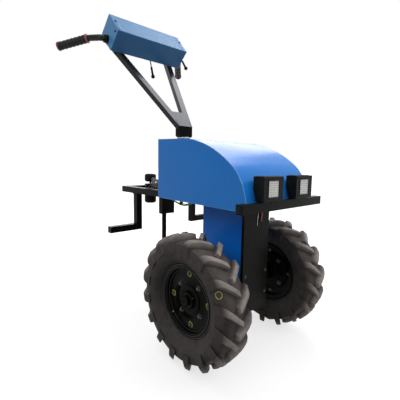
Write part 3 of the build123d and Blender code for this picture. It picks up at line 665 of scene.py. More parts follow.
class Studio:
    """Camera, floor, backdrop and lights."""

    CAMERA_PLACE: Point = (-0.8614, -0.7284, 0.6482)
    YAW_DEG = 42.793
    PITCH_DEG = 6.702
    ROLL_DEG = 0.899
    LENS_MM = 28.53
    FLOOR_SIZE = 30.0
    FLOOR_GLOW = 0.72
    # name, colour, place, target, size, watts
    LAMPS: tuple[tuple[str, Point, Point, Point, float, float], ...] = (
        ("lamp_top", WHITE, (0.0, 0.2, 3.2), (0.0, 0.2, 0.6), 2.6, 27.0),
        ("lamp_sky", (0.90, 0.91, 1.0), (1.75, 0.6, 3.1), (0.0, 0.35, 0.9), 1.3, 26.0),
        ("lamp_back", (1.0, 0.88, 0.89), (2.2, 1.6, 2.1), (0.0, 0.2, 0.7), 1.4, 16.0),
        ("lamp_low", WHITE, (1.35, 3.2, 0.85), (-0.1, 0.5, 0.54), 1.2, 9.0),
        ("lamp_front", WHITE, (1.2, -2.6, 3.0), (0.0, 0.0, 0.5), 1.8, 40.0),
        ("lamp_near", WHITE, (-2.6, -0.8, 2.4), (0.0, 0.2, 0.5), 1.8, 27.5),
    )

    def build(self) -> None:
        """Makes the camera, then the floor, the world and the lamps."""
        self._camera()
        self._floor()
        self._world()
        self._lamps()

    def _camera(self) -> None:
        """Puts the camera where the photograph was taken."""
        yaw, pitch, roll = map(math.radians, (self.YAW_DEG, self.PITCH_DEG, self.ROLL_DEG))
        forward = Vector(
            (math.sin(yaw) * math.cos(pitch), math.cos(yaw) * math.cos(pitch), -math.sin(pitch))
        )
        level = Vector((math.cos(yaw), -math.sin(yaw), 0.0))
        right = level * math.cos(roll) + level.cross(forward) * math.sin(roll)
        turn = Matrix((right, right.cross(forward), -forward)).transposed()
        data = bpy.data.cameras.new("camera")
        data.lens = self.LENS_MM
        data.sensor_width = 36.0
        data.clip_start = 0.01
        camera = bpy.data.objects.new("camera", data)
        camera.matrix_world = Matrix.Translation(self.CAMERA_PLACE) @ turn.to_4x4()
        bpy.context.scene.collection.objects.link(camera)
        bpy.context.scene.camera = camera

    def _floor(self) -> None:
        """Pale floor that keeps the object's shadow and is white to the camera far away."""
        mesh = bmesh.new()
        bmesh.ops.create_grid(mesh, x_segments=1, y_segments=1, size=self.FLOOR_SIZE)
        data = bpy.data.meshes.new("floor")
        mesh.to_mesh(data)
        mesh.free()
        floor = bpy.data.objects.new("floor", data)
        floor.location.z = -0.0005
        bpy.context.scene.collection.objects.link(floor)
        material = bpy.data.materials.new("floor_pale")
        material.use_nodes = True
        tree = Tree(material.node_tree)
        place = tree.add("TexCoord", {}).outputs["Object"]
        far = tree.vector("LENGTH", {0: place}, "Value")
        level = tree.spread(far, 0.5, 1.7, self.FLOOR_GLOW, interpolation_type="SMOOTHSTEP")
        glow = tree.add("Math", {0: level}, operation="MULTIPLY")
        tree.feed(glow, {1: tree.seen()})
        inputs = {
            "Base Color": (0.30, 0.30, 0.30, 1.0), "Roughness": 0.9, "Specular IOR Level": 0.1,
            "Emission Color": (*WHITE, 1.0), "Emission Strength": glow.outputs["Value"],
        }
        tree.feed(material.node_tree.nodes["Principled BSDF"], inputs)
        data.materials.append(material)

    def _world(self) -> None:
        """White to the camera and in gloss, soft light on the object, stronger from above."""
        world = bpy.data.worlds.new("studio")
        bpy.context.scene.world = world
        world.use_nodes = True
        tree = Tree(world.node_tree)
        seen = tree.seen()
        place = tree.add("TexCoord", {}).outputs["Generated"]
        rise = tree.add("SeparateXYZ", {"Vector": place}).outputs["Z"]
        sky = tree.spread(rise, -0.1, 0.9, 0.10, 0.75)
        level = tree.add("Mix", {"Factor": seen, "A": sky, "B": 1.0}).outputs["Result"]
        base = world.node_tree.nodes["Background"]
        tree.feed(base, {"Color": (*WHITE, 1.0), "Strength": level})

    def _lamps(self) -> None:
        """Broad lamps above, at the back, at the front and at the near side."""
        for name, colour, place, target, size, watts in self.LAMPS:
            data = bpy.data.lights.new(name, "AREA")
            data.color = colour
            data.size = size
            data.energy = watts
            lamp = bpy.data.objects.new(name, data)
            lamp.visible_camera = False
            lamp.location = place
            aim = Vector(target) - Vector(place)
            lamp.rotation_euler = aim.to_track_quat("-Z", "Y").to_euler()
            bpy.context.scene.collection.objects.link(lamp)


@dataclass(frozen=True)
class Wheel:
    """Lugged tyre, rim, hub and their small things on one side.

    Args:
        side: Side of the machine.
    """

    side: Side

    AXLE_HEIGHT = 0.215
    TRACK_HALF = 0.218
    RADIUS = 0.215
    HALF_WIDTH = 0.056
    LUGS = 16
    SWEEP_DEG = 13.0
    CROWN = (0.0, 0.1948)
    # Half profile of the carcass from the bead out: half width and radius
    CARCASS: ClassVar[Outline] = (
        (0.0220, 0.1020), (0.0220, 0.1165), (0.0262, 0.1190), (0.0300, 0.1205), (0.0318, 0.1225),
        (0.0330, 0.1226), (0.0392, 0.1285), (0.0455, 0.1365), (0.0500, 0.1460), (0.0522, 0.1560),
        (0.0528, 0.1600), (0.0521, 0.1605), (0.0519, 0.1650), (0.0505, 0.1750), (0.0478, 0.1850),
        (0.0420, 0.1890), (0.0300, 0.1922), (0.0150, 0.1942),
    )
    # Stations along a lug: share of half width, share of radius, top width, root width, root radius
    STATIONS: ClassVar[tuple[tuple[float, float, float, float, float], ...]] = (
        (-0.10, 0.990, 0.0145, 0.0240, 0.186), (-0.03, 1.000, 0.0165, 0.0270, 0.186),
        (0.25, 1.000, 0.0168, 0.0275, 0.186), (0.55, 0.992, 0.0175, 0.0285, 0.184),
        (0.78, 0.975, 0.0195, 0.0300, 0.178), (0.90, 0.945, 0.0225, 0.0320, 0.168),
        (0.97, 0.905, 0.0250, 0.0330, 0.160), (1.00, 0.862, 0.0262, 0.0335, 0.158),
    )
    DISC_OUT = 0.006
    DISC_IN = -0.002
    BEAD_HALF = 0.022
    BARREL = 0.102
    FLANGE = 0.117
    SHEET = 0.004
    BORE = 0.032
    HUB: ClassVar[Outline] = (
        (-0.066, 0.0150), (-0.0658, 0.0265), (-0.0640, 0.0280), (-0.0135, 0.0280),
        (-0.0105, 0.0310), (-0.0100, 0.0745), (-0.0088, 0.0760), (-0.0030, 0.0760),
        (-0.0020, 0.0750), (-0.0020, 0.0310), (0.0000, 0.0282), (0.0200, 0.0280),
        (0.0220, 0.0262), (0.0220, 0.0205), (0.0212, 0.0195), (0.0212, 0.0152), (0.0285, 0.0150),
        (0.0300, 0.0136), (0.0300, 0.0050), (0.0282, 0.0030),
    )
    # Rise over the disc and radius
    HUB_PLATE: ClassVar[Outline] = (
        (0.0018, 0.0282), (0.0060, 0.0282), (0.0064, 0.0300), (0.0064, 0.0478), (0.0056, 0.0492),
        (0.0018, 0.0496),
    )
    OUTER_CIRCLE = 0.0832
    OUTER_DEG = -3.0
    INNER_CIRCLE = 0.0614
    INNER_DEG = 40.0
    # Paint ring round a bolt
    RING: ClassVar[Outline] = ((0.0, 0.0070), (0.0005, 0.00764), (0.0005, 0.00956), (0.0, 0.0102))
    CHALK_RADIUS = 0.0098
    CHALK_OUT = 0.0190
    CHALK_DEG = 64.4
    SHOULDER = 0.165
    LIPS = ((0.0258, 0.1158, 0.0016), (0.0262, 0.1085, 0.0012), (0.0130, 0.0976, 0.0012))

    @property
    def body(self) -> Body:
        """Body that the wheel's pieces ride on."""
        return Body.WHEEL_LEFT if self.side is Side.LEFT else Body.WHEEL_RIGHT

    def build(self) -> None:
        """Makes everything on the wheel."""
        self._tyre()
        self._rim()
        self._hub()
        self._lips()
        self._bolts()
        self._marks()
        LOG.info("wheel %s", self.side.word)

    def _at(self, out: float, radius: float = 0.0, angle_deg: float = 0.0) -> Vector:
        """Point by its distance out, its radius and its angle from the top forward."""
        angle = math.radians(angle_deg)
        across = self.side.value * (self.TRACK_HALF + out)
        rise = self.AXLE_HEIGHT + radius * math.cos(angle)
        return Vector((across, -radius * math.sin(angle), rise))

    def _turned(self, form: Form, outline: Outline, segments: int, looped: bool = True) -> Form:
        """Turns an outline about the axle, with its heights out from the wheel's middle."""
        return form.turned(self._at(0.0), self.side.out, outline, segments, looped)

    def _tyre(self) -> None:
        """Carcass, closed at the bore, with its lugs, in place of the plain node."""
        outline = [*self.CARCASS, self.CROWN, *((-x, r) for x, r in reversed(self.CARCASS))]
        form = self._turned(Form(), outline, 96)
        pitch = 360.0 / self.LUGS
        for number in range(self.LUGS):
            self._lug(form, 1, number * pitch)
            self._lug(form, -1, (number + 0.5) * pitch)
        piece = form.piece(f"tyre_tread_{self.side.word}", self.body, RUBBER, 34.0)
        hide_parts(f"tyre_{self.side.word}")

    def _lug(self, form: Form, hand: int, turn_deg: float) -> None:
        """One bar with rounded top edges, from past the centre line out over the shoulder."""
        rows = []
        for share, top_share, top_width, root_width, root in self.STATIONS:
            across = hand * share * self.HALF_WIDTH
            top = top_share * self.RADIUS
            middle = turn_deg - self.SWEEP_DEG * share
            soft = min(0.0015, 0.20 * (top - root))
            # half width and radius of each point of the section
            section = (
                (root_width / 2, root),
                (top_width / 2 + 0.0016, root + 0.40 * (top - root)),
                (top_width / 2, top - soft),
                (top_width / 2 - 0.3 * soft, top - 0.3 * soft),
                (top_width / 2 - soft, top),
            )
            points = [*section, *((-w, r) for w, r in reversed(section))]
            rows.append(form.row(
                [self._at(across, r, middle + math.degrees(w / r)) for w, r in points]
            ))
        form.skin(rows, looped=False)

    def _rim(self) -> None:
        """Barrel with rolled flanges and a dished disc, in place of the many-sided node."""
        b, f, t, r = self.BEAD_HALF, self.FLANGE, self.SHEET, self.BARREL
        outer, inner = self.DISC_OUT, self.DISC_IN
        flange = (
            (0.003, r - 0.0006), (0.006, r), (b - 0.003, r), (b - 0.0006, r + 0.0015),
            (b - 0.0002, f - 0.006), (b, f - 0.0012), (b + t * 0.25, f),
            (b + t * 0.75, f - 0.0004), (b + t, f - 0.0022), (b + t, f - 0.0052),
        )
        disc = (
            (b + t - 0.0008, f - 0.0072), (b + t - 0.002, r + 0.0040), (b + 0.001, r - 0.0006),
            (b - 0.004, r - t), (outer + 0.006, r - t), (outer + 0.0016, r - t - 0.0024),
            (outer, r - t - 0.008), (outer, 0.0560), (outer + 0.0022, 0.0530),
            (outer + 0.0024, 0.0500), (outer + 0.0024, self.BORE), (inner, self.BORE),
            (inner, r - t - 0.008), (inner - 0.0016, r - t - 0.0024), (inner - 0.006, r - t),
            (-b - 0.001, r - t), (-b - t + 0.002, r + 0.0040),
        )
        outline = [*((-x, radius) for x, radius in reversed(flange)), *flange, *disc]
        form = self._turned(Form(), outline, 128)
        piece = form.piece(f"rim_turned_{self.side.word}", self.body, RIM_BLACK, 40.0)
        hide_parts(f"rim_{self.side.word}")

    def _hub(self) -> None:
        """Hub barrel, its flange behind the disc and the shaft, in place of the node."""
        shaft_in = 0.084 - self.TRACK_HALF
        outline = ((shaft_in, 0.0140), (shaft_in + 0.001, 0.0150), *self.HUB)
        form = self._turned(Form(), outline, 72, looped=False)
        piece = form.piece(f"hub_turned_{self.side.word}", self.body, HUB_BLACK, 40.0)
        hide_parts(f"hub_{self.side.word}")
        plate = self._turned(Form(), [(self.DISC_OUT + h, r) for h, r in self.HUB_PLATE], 72)
        plate.piece(f"hub_plate_{self.side.word}", self.body, HUB_BLACK)

    def _bolts(self) -> None:
        """Outer and inner circles of bolts, with nuts behind, set screws and the valve."""
        out = self.side.out
        dark, olive = Form(), Form()
        for quarter in (0, 90, 180, 270):
            outer, inner = self.OUTER_DEG + quarter, self.INNER_DEG + quarter
            olive.hexes(self._at(self.DISC_OUT, self.OUTER_CIRCLE, outer), out, 0.0056, 0.0052)
            dark.hexes(self._at(self.DISC_IN, self.OUTER_CIRCLE, outer), -out, 0.0058, 0.0060)
            dark.hexes(self._at(self.DISC_OUT, self.INNER_CIRCLE, inner), out, 0.0060, 0.0058)
            dark.hexes(self._at(-0.0100, self.INNER_CIRCLE, inner), -out, 0.0060, 0.0060)
        for angle in (60, 180, 300):
            spot = self._at(0.0148, 0.0272, angle)
            dark.screw(spot, spot - self._at(0.0148), 0.0036)
        valve = ((0.0120, 0.0975), (0.0170, 0.0925), (0.0225, 0.0870))
        dark.swept([self._at(h, r, 228) for h, r in valve], [0.0042, 0.0036, 0.0030], 12)
        dark.piece(f"wheel_bolts_{self.side.word}", self.body, DARK_STEEL)
        olive.piece(f"rim_bolts_{self.side.word}", self.body, OLIVE)

    def _marks(self) -> None:
        """Paint rings round the outer bolts and one chalk ring on the near tyre's side."""
        rings = Form()
        for quarter in (0, 90, 180, 270):
            centre = self._at(self.DISC_OUT - 0.0001, self.OUTER_CIRCLE, self.OUTER_DEG + quarter)
            rings.turned(centre, self.side.out, self.RING, 28, looped=True)
        rings.piece(f"paint_rings_{self.side.word}", self.body, YELLOW)
        if self.side is Side.RIGHT:
            self._chalk()

    def _chalk(self) -> None:
        """Chalk ring that lies on the tyre's shoulder."""
        points = [Vector(pair) for pair in self.CARCASS if pair[1] >= self.SHOULDER]
        line = []
        for around in (math.tau * number / 30 for number in range(31)):
            left = self.CHALK_OUT + self.CHALK_RADIUS * math.cos(around)
            for start, end in zip(points, points[1:]):
                length = (end - start).length
                if left <= length:
                    break
                left -= length
            across, radius = start.lerp(end, left / length)
            turn = self.CHALK_DEG + math.degrees(self.CHALK_RADIUS * math.sin(around) / radius)
            line.append(self._at(across + 0.0002, radius + 0.0001, turn))
        Form().swept(line, 0.0012, 8).piece("chalk_ring", self.body, YELLOW)

    def _lips(self) -> None:
        """Glossy rolled edges of the rim."""
        form = Form()
        for out, radius, thick in self.LIPS:
            form.swept([self._at(out, radius, 360.0 * k / 96) for k in range(97)], thick, 8)
        form.piece(f"rim_lips_{self.side.word}", self.body, GLOSS_BLACK, 60.0)


class Frame:
    """Welds, caps and bolts of the tube frame and what hangs under it."""

    TOP = 0.541
    BOTTOM = 0.516
    RAIL_INNER = 0.1325
    RAIL_OUTER = 0.1575
    HALF_TUBE = 0.0125
    # Middles of the cross rails
    CROSSES = (-0.080, 0.097, 0.309, 0.400, 0.5315)
    # Inner and outer faces of a side bracket's leg, its front and rear, and its foot's heights
    BRACKET_X = (0.1395, 0.1645)
    BRACKET_Y = (0.4115, 0.4365)
    BRACKET_Z = (0.365, 0.390)
    BRACKET_REACH = 0.283
    POST_HALF = 0.068
    POST_Y = (-0.0845, -0.0745)
    HANDLE_POST_Y = 0.309
    BUMPER_ENDS = (-0.2072, 0.2342)

    def build(self) -> None:
        """Makes the frame's small things."""
        self._welds()
        self._bolts()
        self._caps()
        LOG.info("frame")

    def _welds(self) -> None:
        """Weld beads where tubes meet."""
        form = Form()
        low, high = self.BRACKET_Y
        foot, bend = self.BRACKET_Z
        for hand in HANDS:
            rail = hand * self.RAIL_INNER
            x = hand * (self.RAIL_INNER - 0.0005)
            for middle in self.CROSSES:
                faces = (middle - self.HALF_TUBE, middle + self.HALF_TUBE)
                for y in faces:
                    form.bead((x, y, self.BOTTOM), (x, y, self.TOP))
                for z in (self.TOP - 0.0008, self.BOTTOM - 0.0008):
                    form.bead((rail, faces[0], z), (rail, faces[1], z), 0.0018)
            inner, outer = (hand * x for x in self.BRACKET_X)
            for y in (low, high):
                form.bead((inner, y, self.BOTTOM), (hand * self.RAIL_OUTER, y, self.BOTTOM))
                form.bead((outer, y, foot), (outer, y, bend))
            form.bead((outer, low, bend), (outer, high, bend))
            form.bead((inner, low, self.BOTTOM), (inner, high, self.BOTTOM))
            x, z = hand * self.POST_HALF, self.BOTTOM - 0.0005
            form.bead((x, self.POST_Y[0], z), (x, self.POST_Y[1], z))
        form.piece("frame_welds", Body.CHASSIS, FRAME_BLACK, 60.0)

    def _bolts(self) -> None:
        """Bolts of the battery tray and the handle post."""
        form = Form()
        for hand in HANDS:
            for y in (-0.130, 0.020, 0.170):
                form.hexes((hand * 0.145, y, self.BOTTOM), DOWN, 0.0055, 0.0050)
            form.hexes((hand * 0.075, self.HANDLE_POST_Y, self.TOP), UP, 0.0055, 0.0048)
        form.piece("frame_bolts", Body.CHASSIS, DARK_STEEL)

    def _caps(self) -> None:
        """Plastic caps in the open ends of the feet and the bumper."""
        form = Form()
        wall = 0.0016
        for hand in HANDS:
            x = hand * self.BRACKET_REACH
            spans = (
                sorted((x - hand * 0.0030, x - hand * 0.0002)),
                *((low + wall, high - wall) for low, high in (self.BRACKET_Y, self.BRACKET_Z)),
            )
            form.block(*zip(*spans))
        for x in self.BUMPER_ENDS:
            form.block((x, -0.1852, 0.5110), (x + 0.0010, -0.1658, 0.5330), 0.0003)
        form.piece("tube_caps", Body.CHASSIS, PLASTIC_BLACK)


class Hood:
    """Edges, louvres, screws and charging cap of the hood."""

    HALF = 0.172
    REAR = 0.248
    FRONT = -0.172
    TOP = 0.732
    # Height that its curve ends at
    BASE = 0.536
    REAR_FOOT = 0.517
    FRONT_FOOT = 0.509
    # Where the side sheets end behind the bumper
    FRONT_LINE = -0.1627
    LOUVRES = 6
    LOUVRE_LENGTH = 0.075
    LOUVRE_PITCH = 0.017
    CAP_X = -0.128
    CAP_HEIGHT = 0.640
    CAP: Outline = (
        (-0.0004, 0.0190), (0.0030, 0.0190), (0.0036, 0.0180), (0.0036, 0.0162), (0.0080, 0.0158),
        (0.0092, 0.0148), (0.0096, 0.0060),
    )

    def build(self) -> None:
        """Makes the hood's small things."""
        self._edges()
        self._louvres()
        self._fittings()
        LOG.info("hood")

    def _place(self, along: float, up: float) -> Vector:
        """Point of the side outline, by its shares of the length and of the height."""
        y = self.FRONT + along * (self.REAR - self.FRONT)
        return Vector((0, y, self.BASE + up * (self.TOP - self.BASE)))

    @staticmethod
    def _arc(a: Vector, b: Vector, c: Vector, steps: int) -> list[Vector]:
        """Points of the arc from a over b to c, without a."""
        d = 2 * (a.y * (b.z - c.z) + b.y * (c.z - a.z) + c.y * (a.z - b.z))
        sums = [p.y * p.y + p.z * p.z for p in (a, b, c)]
        y = (sums[0] * (b.z - c.z) + sums[1] * (c.z - a.z) + sums[2] * (a.z - b.z)) / d
        z = (sums[0] * (c.y - b.y) + sums[1] * (a.y - c.y) + sums[2] * (b.y - a.y)) / d
        radius = math.hypot(a.y - y, a.z - z)
        first, last = (math.atan2(p.z - z, p.y - y) for p in (a, c))
        turns = [first + (last - first) * k / steps for k in range(1, steps + 1)]
        return [Vector((0, y + radius * math.cos(t), z + radius * math.sin(t))) for t in turns]

    def _edges(self) -> None:
        """Thin rounded seam along the curve, and the hem of the side sheets, in a paler blue that is a
        painted highlight along these edges.
        """
        flat, knee, nose = self._place(0.743, 0.985), self._place(0.177, 0.615), self._place(0, 0)
        line = [
            Vector((0, self.REAR, self.TOP)), flat,
            *self._arc(flat, self._place(0.425, 0.888), knee, 24),
            *self._arc(knee, self._place(0.052, 0.335), nose, 20),
        ]
        form = Form()
        for hand in HANDS:
            x = hand * (self.HALF - 0.0009)
            shift = Vector((x, 0.0006, -0.0006))
            form.swept([p + shift for p in line], 0.0011, 8)
            hem = [
                Vector((x, self.REAR - 0.0012, self.TOP - 0.001)),
                Vector((x, self.REAR - 0.0012, self.REAR_FOOT + 0.0012)),
                Vector((x, self.FRONT_LINE + 0.0010, self.FRONT_FOOT + 0.0014)),
            ]
            form.swept(rounded(hem, 0.002, 4), 0.0010, 8)
        form.piece("hood_seams_painted_highlight", Body.CHASSIS, SEAM_BLUE_PAINTED_HIGHLIGHT, 60.0)

    def _louvres(self) -> None:
        """Raised louvres on the back sheet."""
        form = Form()
        root = self.REAR - 0.0008
        for number in range(self.LOUVRES):
            z = 0.590 + self.LOUVRE_PITCH * number
            for x in (-0.075, 0.030):
                rows = []
                for share in (0.0, 0.08, 0.2, 0.8, 0.92, 1.0):
                    swell = math.sin(math.pi * min(1.0, 4 * min(share, 1 - share)) / 2)
                    out = self.REAR - 0.0004 + 0.0046 * swell
                    section = (
                        (root, 0.0050), (out * 0.4 + self.REAR * 0.6, 0.0036), (out, -0.0022),
                        (out, -0.0034), (root, -0.0030),
                    )
                    spot = x + self.LOUVRE_LENGTH * share
                    rows.append(form.row([(spot, y, z + rise) for y, rise in section]))
                form.skin(rows)
        form.piece("hood_louvres", Body.CHASSIS, HOOD_BLUE, 60.0)

    def _fittings(self) -> None:
        """Charging cap, and the screws that hold the back sheet."""
        rear, x, z = self.REAR, self.CAP_X, self.CAP_HEIGHT
        cap = Form().turned((x, rear, z), BACK, self.CAP, 48)
        cap.block((x - 0.002, rear + 0.0085, z - 0.011), (x + 0.002, rear + 0.0125, z + 0.011))
        cap.piece("charging_cap", Body.CHASSIS, PLASTIC_BLACK)
        screws = Form()
        for hand in HANDS:
            for height in (0.560, 0.700):
                screws.screw((hand * 0.160, rear, height), BACK, 0.0042)
        screws.piece("hood_screws", Body.CHASSIS, DARK_STEEL)


@dataclass(frozen=True)
class Lamp:
    """Bezel, light cells, ribs and bolts of one work lamp.

    Args:
        side: Side of the machine.
    """

    side: Side

    MIDDLE = 0.085
    HALF_WIDTH = 0.048
    FRONT = -0.2035
    LOW = 0.540
    HEIGHT = 0.072
    PANEL_HALF = (0.0255, 0.024)
    # Front of the light panel behind the housing's front
    PANEL_BACK = 0.001
    CELLS = 7
    CELL: ClassVar[Outline] = ((-0.0002, 0.0026), (0.0004, 0.0024), (0.0008, 0.0016), (0.0009, 0.0005))
    BEZEL = 0.003

    def build(self) -> None:
        """Makes the lamp's small things."""
        x, z = self.side.value * self.MIDDLE, self.LOW + self.HEIGHT / 2
        self._cells(x, z)
        self._bezel(x, z)
        self._back(x)
        LOG.info("lamp %s", self.side.word)

    def _cells(self, x: float, z: float) -> None:
        """Grid of light cells."""
        cells = Form()
        pitch = [2 * half / (self.CELLS + 0.4) for half in self.PANEL_HALF]
        steps = [number - (self.CELLS - 1) / 2 for number in range(self.CELLS)]
        for up in steps:
            for across in steps:
                spot = (x + across * pitch[0], self.FRONT + self.PANEL_BACK, z + up * pitch[1])
                cells.turned(spot, FRONT, self.CELL, 10)
        cells.piece(f"light_cells_{self.side.word}", Body.CHASSIS, DIODE_PALE, 60.0)

    def _bezel(self, x: float, z: float) -> None:
        """Thin bezel round the panel and the screws in the housing's corners."""
        bezel = Form()
        a, b = self.PANEL_HALF
        wide, tall = a + self.BEZEL, b + self.BEZEL
        bars = (
            ((-wide, -a), (-tall, tall)), ((a, wide), (-tall, tall)),
            ((-wide, wide), (-tall, -b)), ((-wide, wide), (b, tall)),
        )
        for (left, right), (low, high) in bars:
            bezel.block(
                (x + left, self.FRONT - 0.0012, z + low),
                (x + right, self.FRONT + 0.0006, z + high), 0.0005,
            )
        for dx in HANDS:
            for dz in HANDS:
                spot = (x + dx * (self.HALF_WIDTH - 0.007), self.FRONT, z + dz * 0.029)
                bezel.screw(spot, FRONT, 0.0026)
        bezel.piece(f"lamp_bezel_{self.side.word}", Body.CHASSIS, PLASTIC_BLACK)

    def _back(self, x: float) -> None:
        """Cooling ribs on top and the pivot bolts at the sides."""
        ribs, bolts = Form(), Form()
        top = self.LOW + self.HEIGHT
        reach = self.HALF_WIDTH - 0.004
        for number in range(5):
            y = self.FRONT + 0.0100 + 0.0055 * number
            ribs.block((x - reach, y, top - 0.0008), (x + reach, y + 0.0020, top + 0.0012), 0.0004)
        ribs.piece(f"lamp_ribs_{self.side.word}", Body.CHASSIS, PLASTIC_BLACK)
        for side in Side:
            spot = (x + side.value * self.HALF_WIDTH, self.FRONT + 0.019, self.LOW + 0.022)
            bolts.hexes(spot, side.out, 0.0036, 0.0022)
        bolts.piece(f"lamp_bolts_{self.side.word}", Body.CHASSIS, PLASTIC_BLACK)


class Drive:
    """Post plate, drive housing, gear case, axle tubes and short wires."""

    POST_FRONT = -0.0845
    POST_REAR = -0.0745
    HOUSING_HALF = 0.064
    HOUSING_REAR = 0.114
    HOUSING_LOW = 0.262
    FRAME_LOW = 0.516
    CASE_HALF = 0.072
    CASE_REAR = 0.098
    CASE_LOW = 0.150
    AXLE_HEIGHT = 0.215
    BOLT_CIRCLE = 0.0330
    # Flange of an axle tube out from the case, and the tube's outer end from the middle
    TUBE_FLANGE: Outline = (
        (0.0, 0.0151), (0.0, 0.0362), (0.0015, 0.0380), (0.0105, 0.0380), (0.0120, 0.0366),
        (0.0124, 0.0305), (0.0150, 0.0284),
    )
    TUBE_END: Outline = (
        (0.1200, 0.0280), (0.1300, 0.0280), (0.1330, 0.0274), (0.1340, 0.0258), (0.1340, 0.0151),
    )
    # Leads on the post's face: name, finish, radius, and X and Z of each point
    LEADS = (
        ("lead_red", WIRE_RED, 0.0032,
         ((0.016, 0.500), (0.017, 0.490), (0.021, 0.478), (0.018, 0.464), (0.021, 0.452))),
        ("lead_red_thin", WIRE_RED, 0.0022,
         ((0.028, 0.504), (0.027, 0.492), (0.026, 0.480), (0.023, 0.470), (0.022, 0.462))),
        ("lead_pale", ZINC, 0.0007,
         ((-0.001, 0.440), (0.001, 0.462), (0.004, 0.480), (0.010, 0.492), (0.018, 0.494),
          (0.024, 0.488), (0.031, 0.502))),
    )
    # Wires under the hood's near edge: name, finish, radius and points
    WIRES = (
        ("wire_green", WIRE_GREEN, 0.0027,
         ((-0.1600, 0.128, 0.5015), (-0.1600, 0.112, 0.5005), (-0.1600, 0.096, 0.5025),
          (-0.1600, 0.082, 0.5065), (-0.1590, 0.068, 0.5145))),
        ("wire_yellow", WIRE_YELLOW, 0.0013,
         ((-0.1560, 0.140, 0.5080), (-0.1575, 0.122, 0.5055), (-0.1580, 0.106, 0.5050),
          (-0.1575, 0.090, 0.5080), (-0.1560, 0.074, 0.5145))),
        ("wire_black", PLASTIC_BLACK, 0.0026,
         ((-0.1560, 0.188, 0.5150), (-0.1600, 0.166, 0.5105), (-0.1600, 0.148, 0.5060),
          (-0.1600, 0.130, 0.5018))),
    )

    def build(self) -> None:
        """Makes the drive's small things."""
        for side in Side:
            self._axle_tube(side)
        self._covers()
        self._screws()
        self._case()
        self._wires()
        LOG.info("drive")

    def _axle_tube(self, side: Side) -> None:
        """Turned tube round an axle, in place of the many-sided node, and its bolts."""
        h = self.CASE_HALF
        outline = [*((h + out, r) for out, r in self.TUBE_FLANGE), *self.TUBE_END]
        form = Form().turned((0, 0, self.AXLE_HEIGHT), side.out, outline, 64, looped=True)
        piece = form.piece(f"axle_tube_turned_{side.word}", Body.CHASSIS, CASE_BLACK)
        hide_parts(f"axle_tube_{side.word}")
        bolts = Form()
        for angle in (math.radians(30 + 60 * number) for number in range(6)):
            y, rise = self.BOLT_CIRCLE * math.cos(angle), self.BOLT_CIRCLE * math.sin(angle)
            spot = (side.value * (h + 0.0120), y, self.AXLE_HEIGHT + rise)
            bolts.hexes(spot, side.out, 0.0036, 0.0040, 1.0)
        bolts.piece(f"axle_bolts_{side.word}", Body.CHASSIS, DARK_STEEL)

    def _covers(self) -> None:
        """Folded edges and rear cover of the housing."""
        seams = Form()
        ends = (self.HOUSING_LOW + 0.001, self.FRAME_LOW - 0.001)
        for hand in HANDS:
            x = hand * (self.HOUSING_HALF - 0.0008)
            for y in (self.POST_REAR + 0.0012, self.HOUSING_REAR - 0.0010):
                seams.swept([Vector((x, y, z)) for z in ends], 0.0013, 8)
        seams.piece("housing_seams", Body.CHASSIS, HOUSING_BLUE, 60.0)
        rear = self.HOUSING_REAR
        cover = Form().block((-0.050, rear - 0.0006, 0.285), (0.050, rear + 0.0022, 0.495), 0.0008)
        cover.piece("housing_cover", Body.CHASSIS, HOUSING_BLUE)

    def _screws(self) -> None:
        """Screws of the rear cover and the side sheets, and the bolts of the post plate."""
        form = Form()
        for side in Side:
            hand = side.value
            for z in (0.293, 0.390, 0.487):
                form.screw((hand * 0.043, self.HOUSING_REAR + 0.0022, z), BACK, 0.0036)
            for y in (-0.055, 0.095):
                for z in (0.280, 0.500):
                    form.screw((hand * self.HOUSING_HALF, y, z), side.out, 0.0034)
            for z in (0.195, 0.273):
                form.hexes((hand * 0.056, self.POST_FRONT, z), FRONT, 0.0044, 0.0036)
        form.piece("housing_screws", Body.CHASSIS, DARK_STEEL)

    def _case(self) -> None:
        """Ribs, flange bolts, oil plug and breather of the gear case."""
        rear = self.CASE_REAR
        ribs, bolts = Form(), Form()
        for x in (-0.050, -0.017, 0.017, 0.050):
            ribs.block((x - 0.003, rear - 0.001, 0.170), (x + 0.003, rear + 0.0055, 0.250), 0.0014)
        ribs.piece("case_ribs", Body.CHASSIS, CASE_BLACK)
        for x in (-0.060, 0.0, 0.060):
            bolts.hexes((x, 0.101, self.HOUSING_LOW - 0.008), DOWN, 0.0036, 0.0040, 1.0)
        bolts.hexes((0.0, 0.020, self.CASE_LOW), DOWN, 0.0105, 0.0070, 1.25)
        bolts.hexes((0.034, rear, 0.188), BACK, 0.0085, 0.0065, 1.25)
        bolts.piece("case_bolts", Body.CHASSIS, DARK_STEEL)

    def _wires(self) -> None:
        """Short wires clipped to the frame's underside and to the post's face."""
        face = self.POST_FRONT - 0.0017
        leads = [(*row[:3], [(x, face, z) for x, z in row[3]]) for row in self.LEADS]
        for name, finish, radius, points in (*leads, *self.WIRES):
            form = Form().swept(smooth_line([Vector(p) for p in points]), radius, 10)
            form.piece(name, Body.CHASSIS, finish, 80.0)
        clips = Form()
        clips.block((0.0, self.POST_FRONT - 0.0050, 0.501), (0.036, self.POST_FRONT, 0.508), 0.0008)
        clips.block((-0.1625, 0.128, 0.4985), (-0.1500, 0.132, 0.5162), 0.0008)
        clips.piece("wire_clips", Body.CHASSIS, PLASTIC_BLACK)


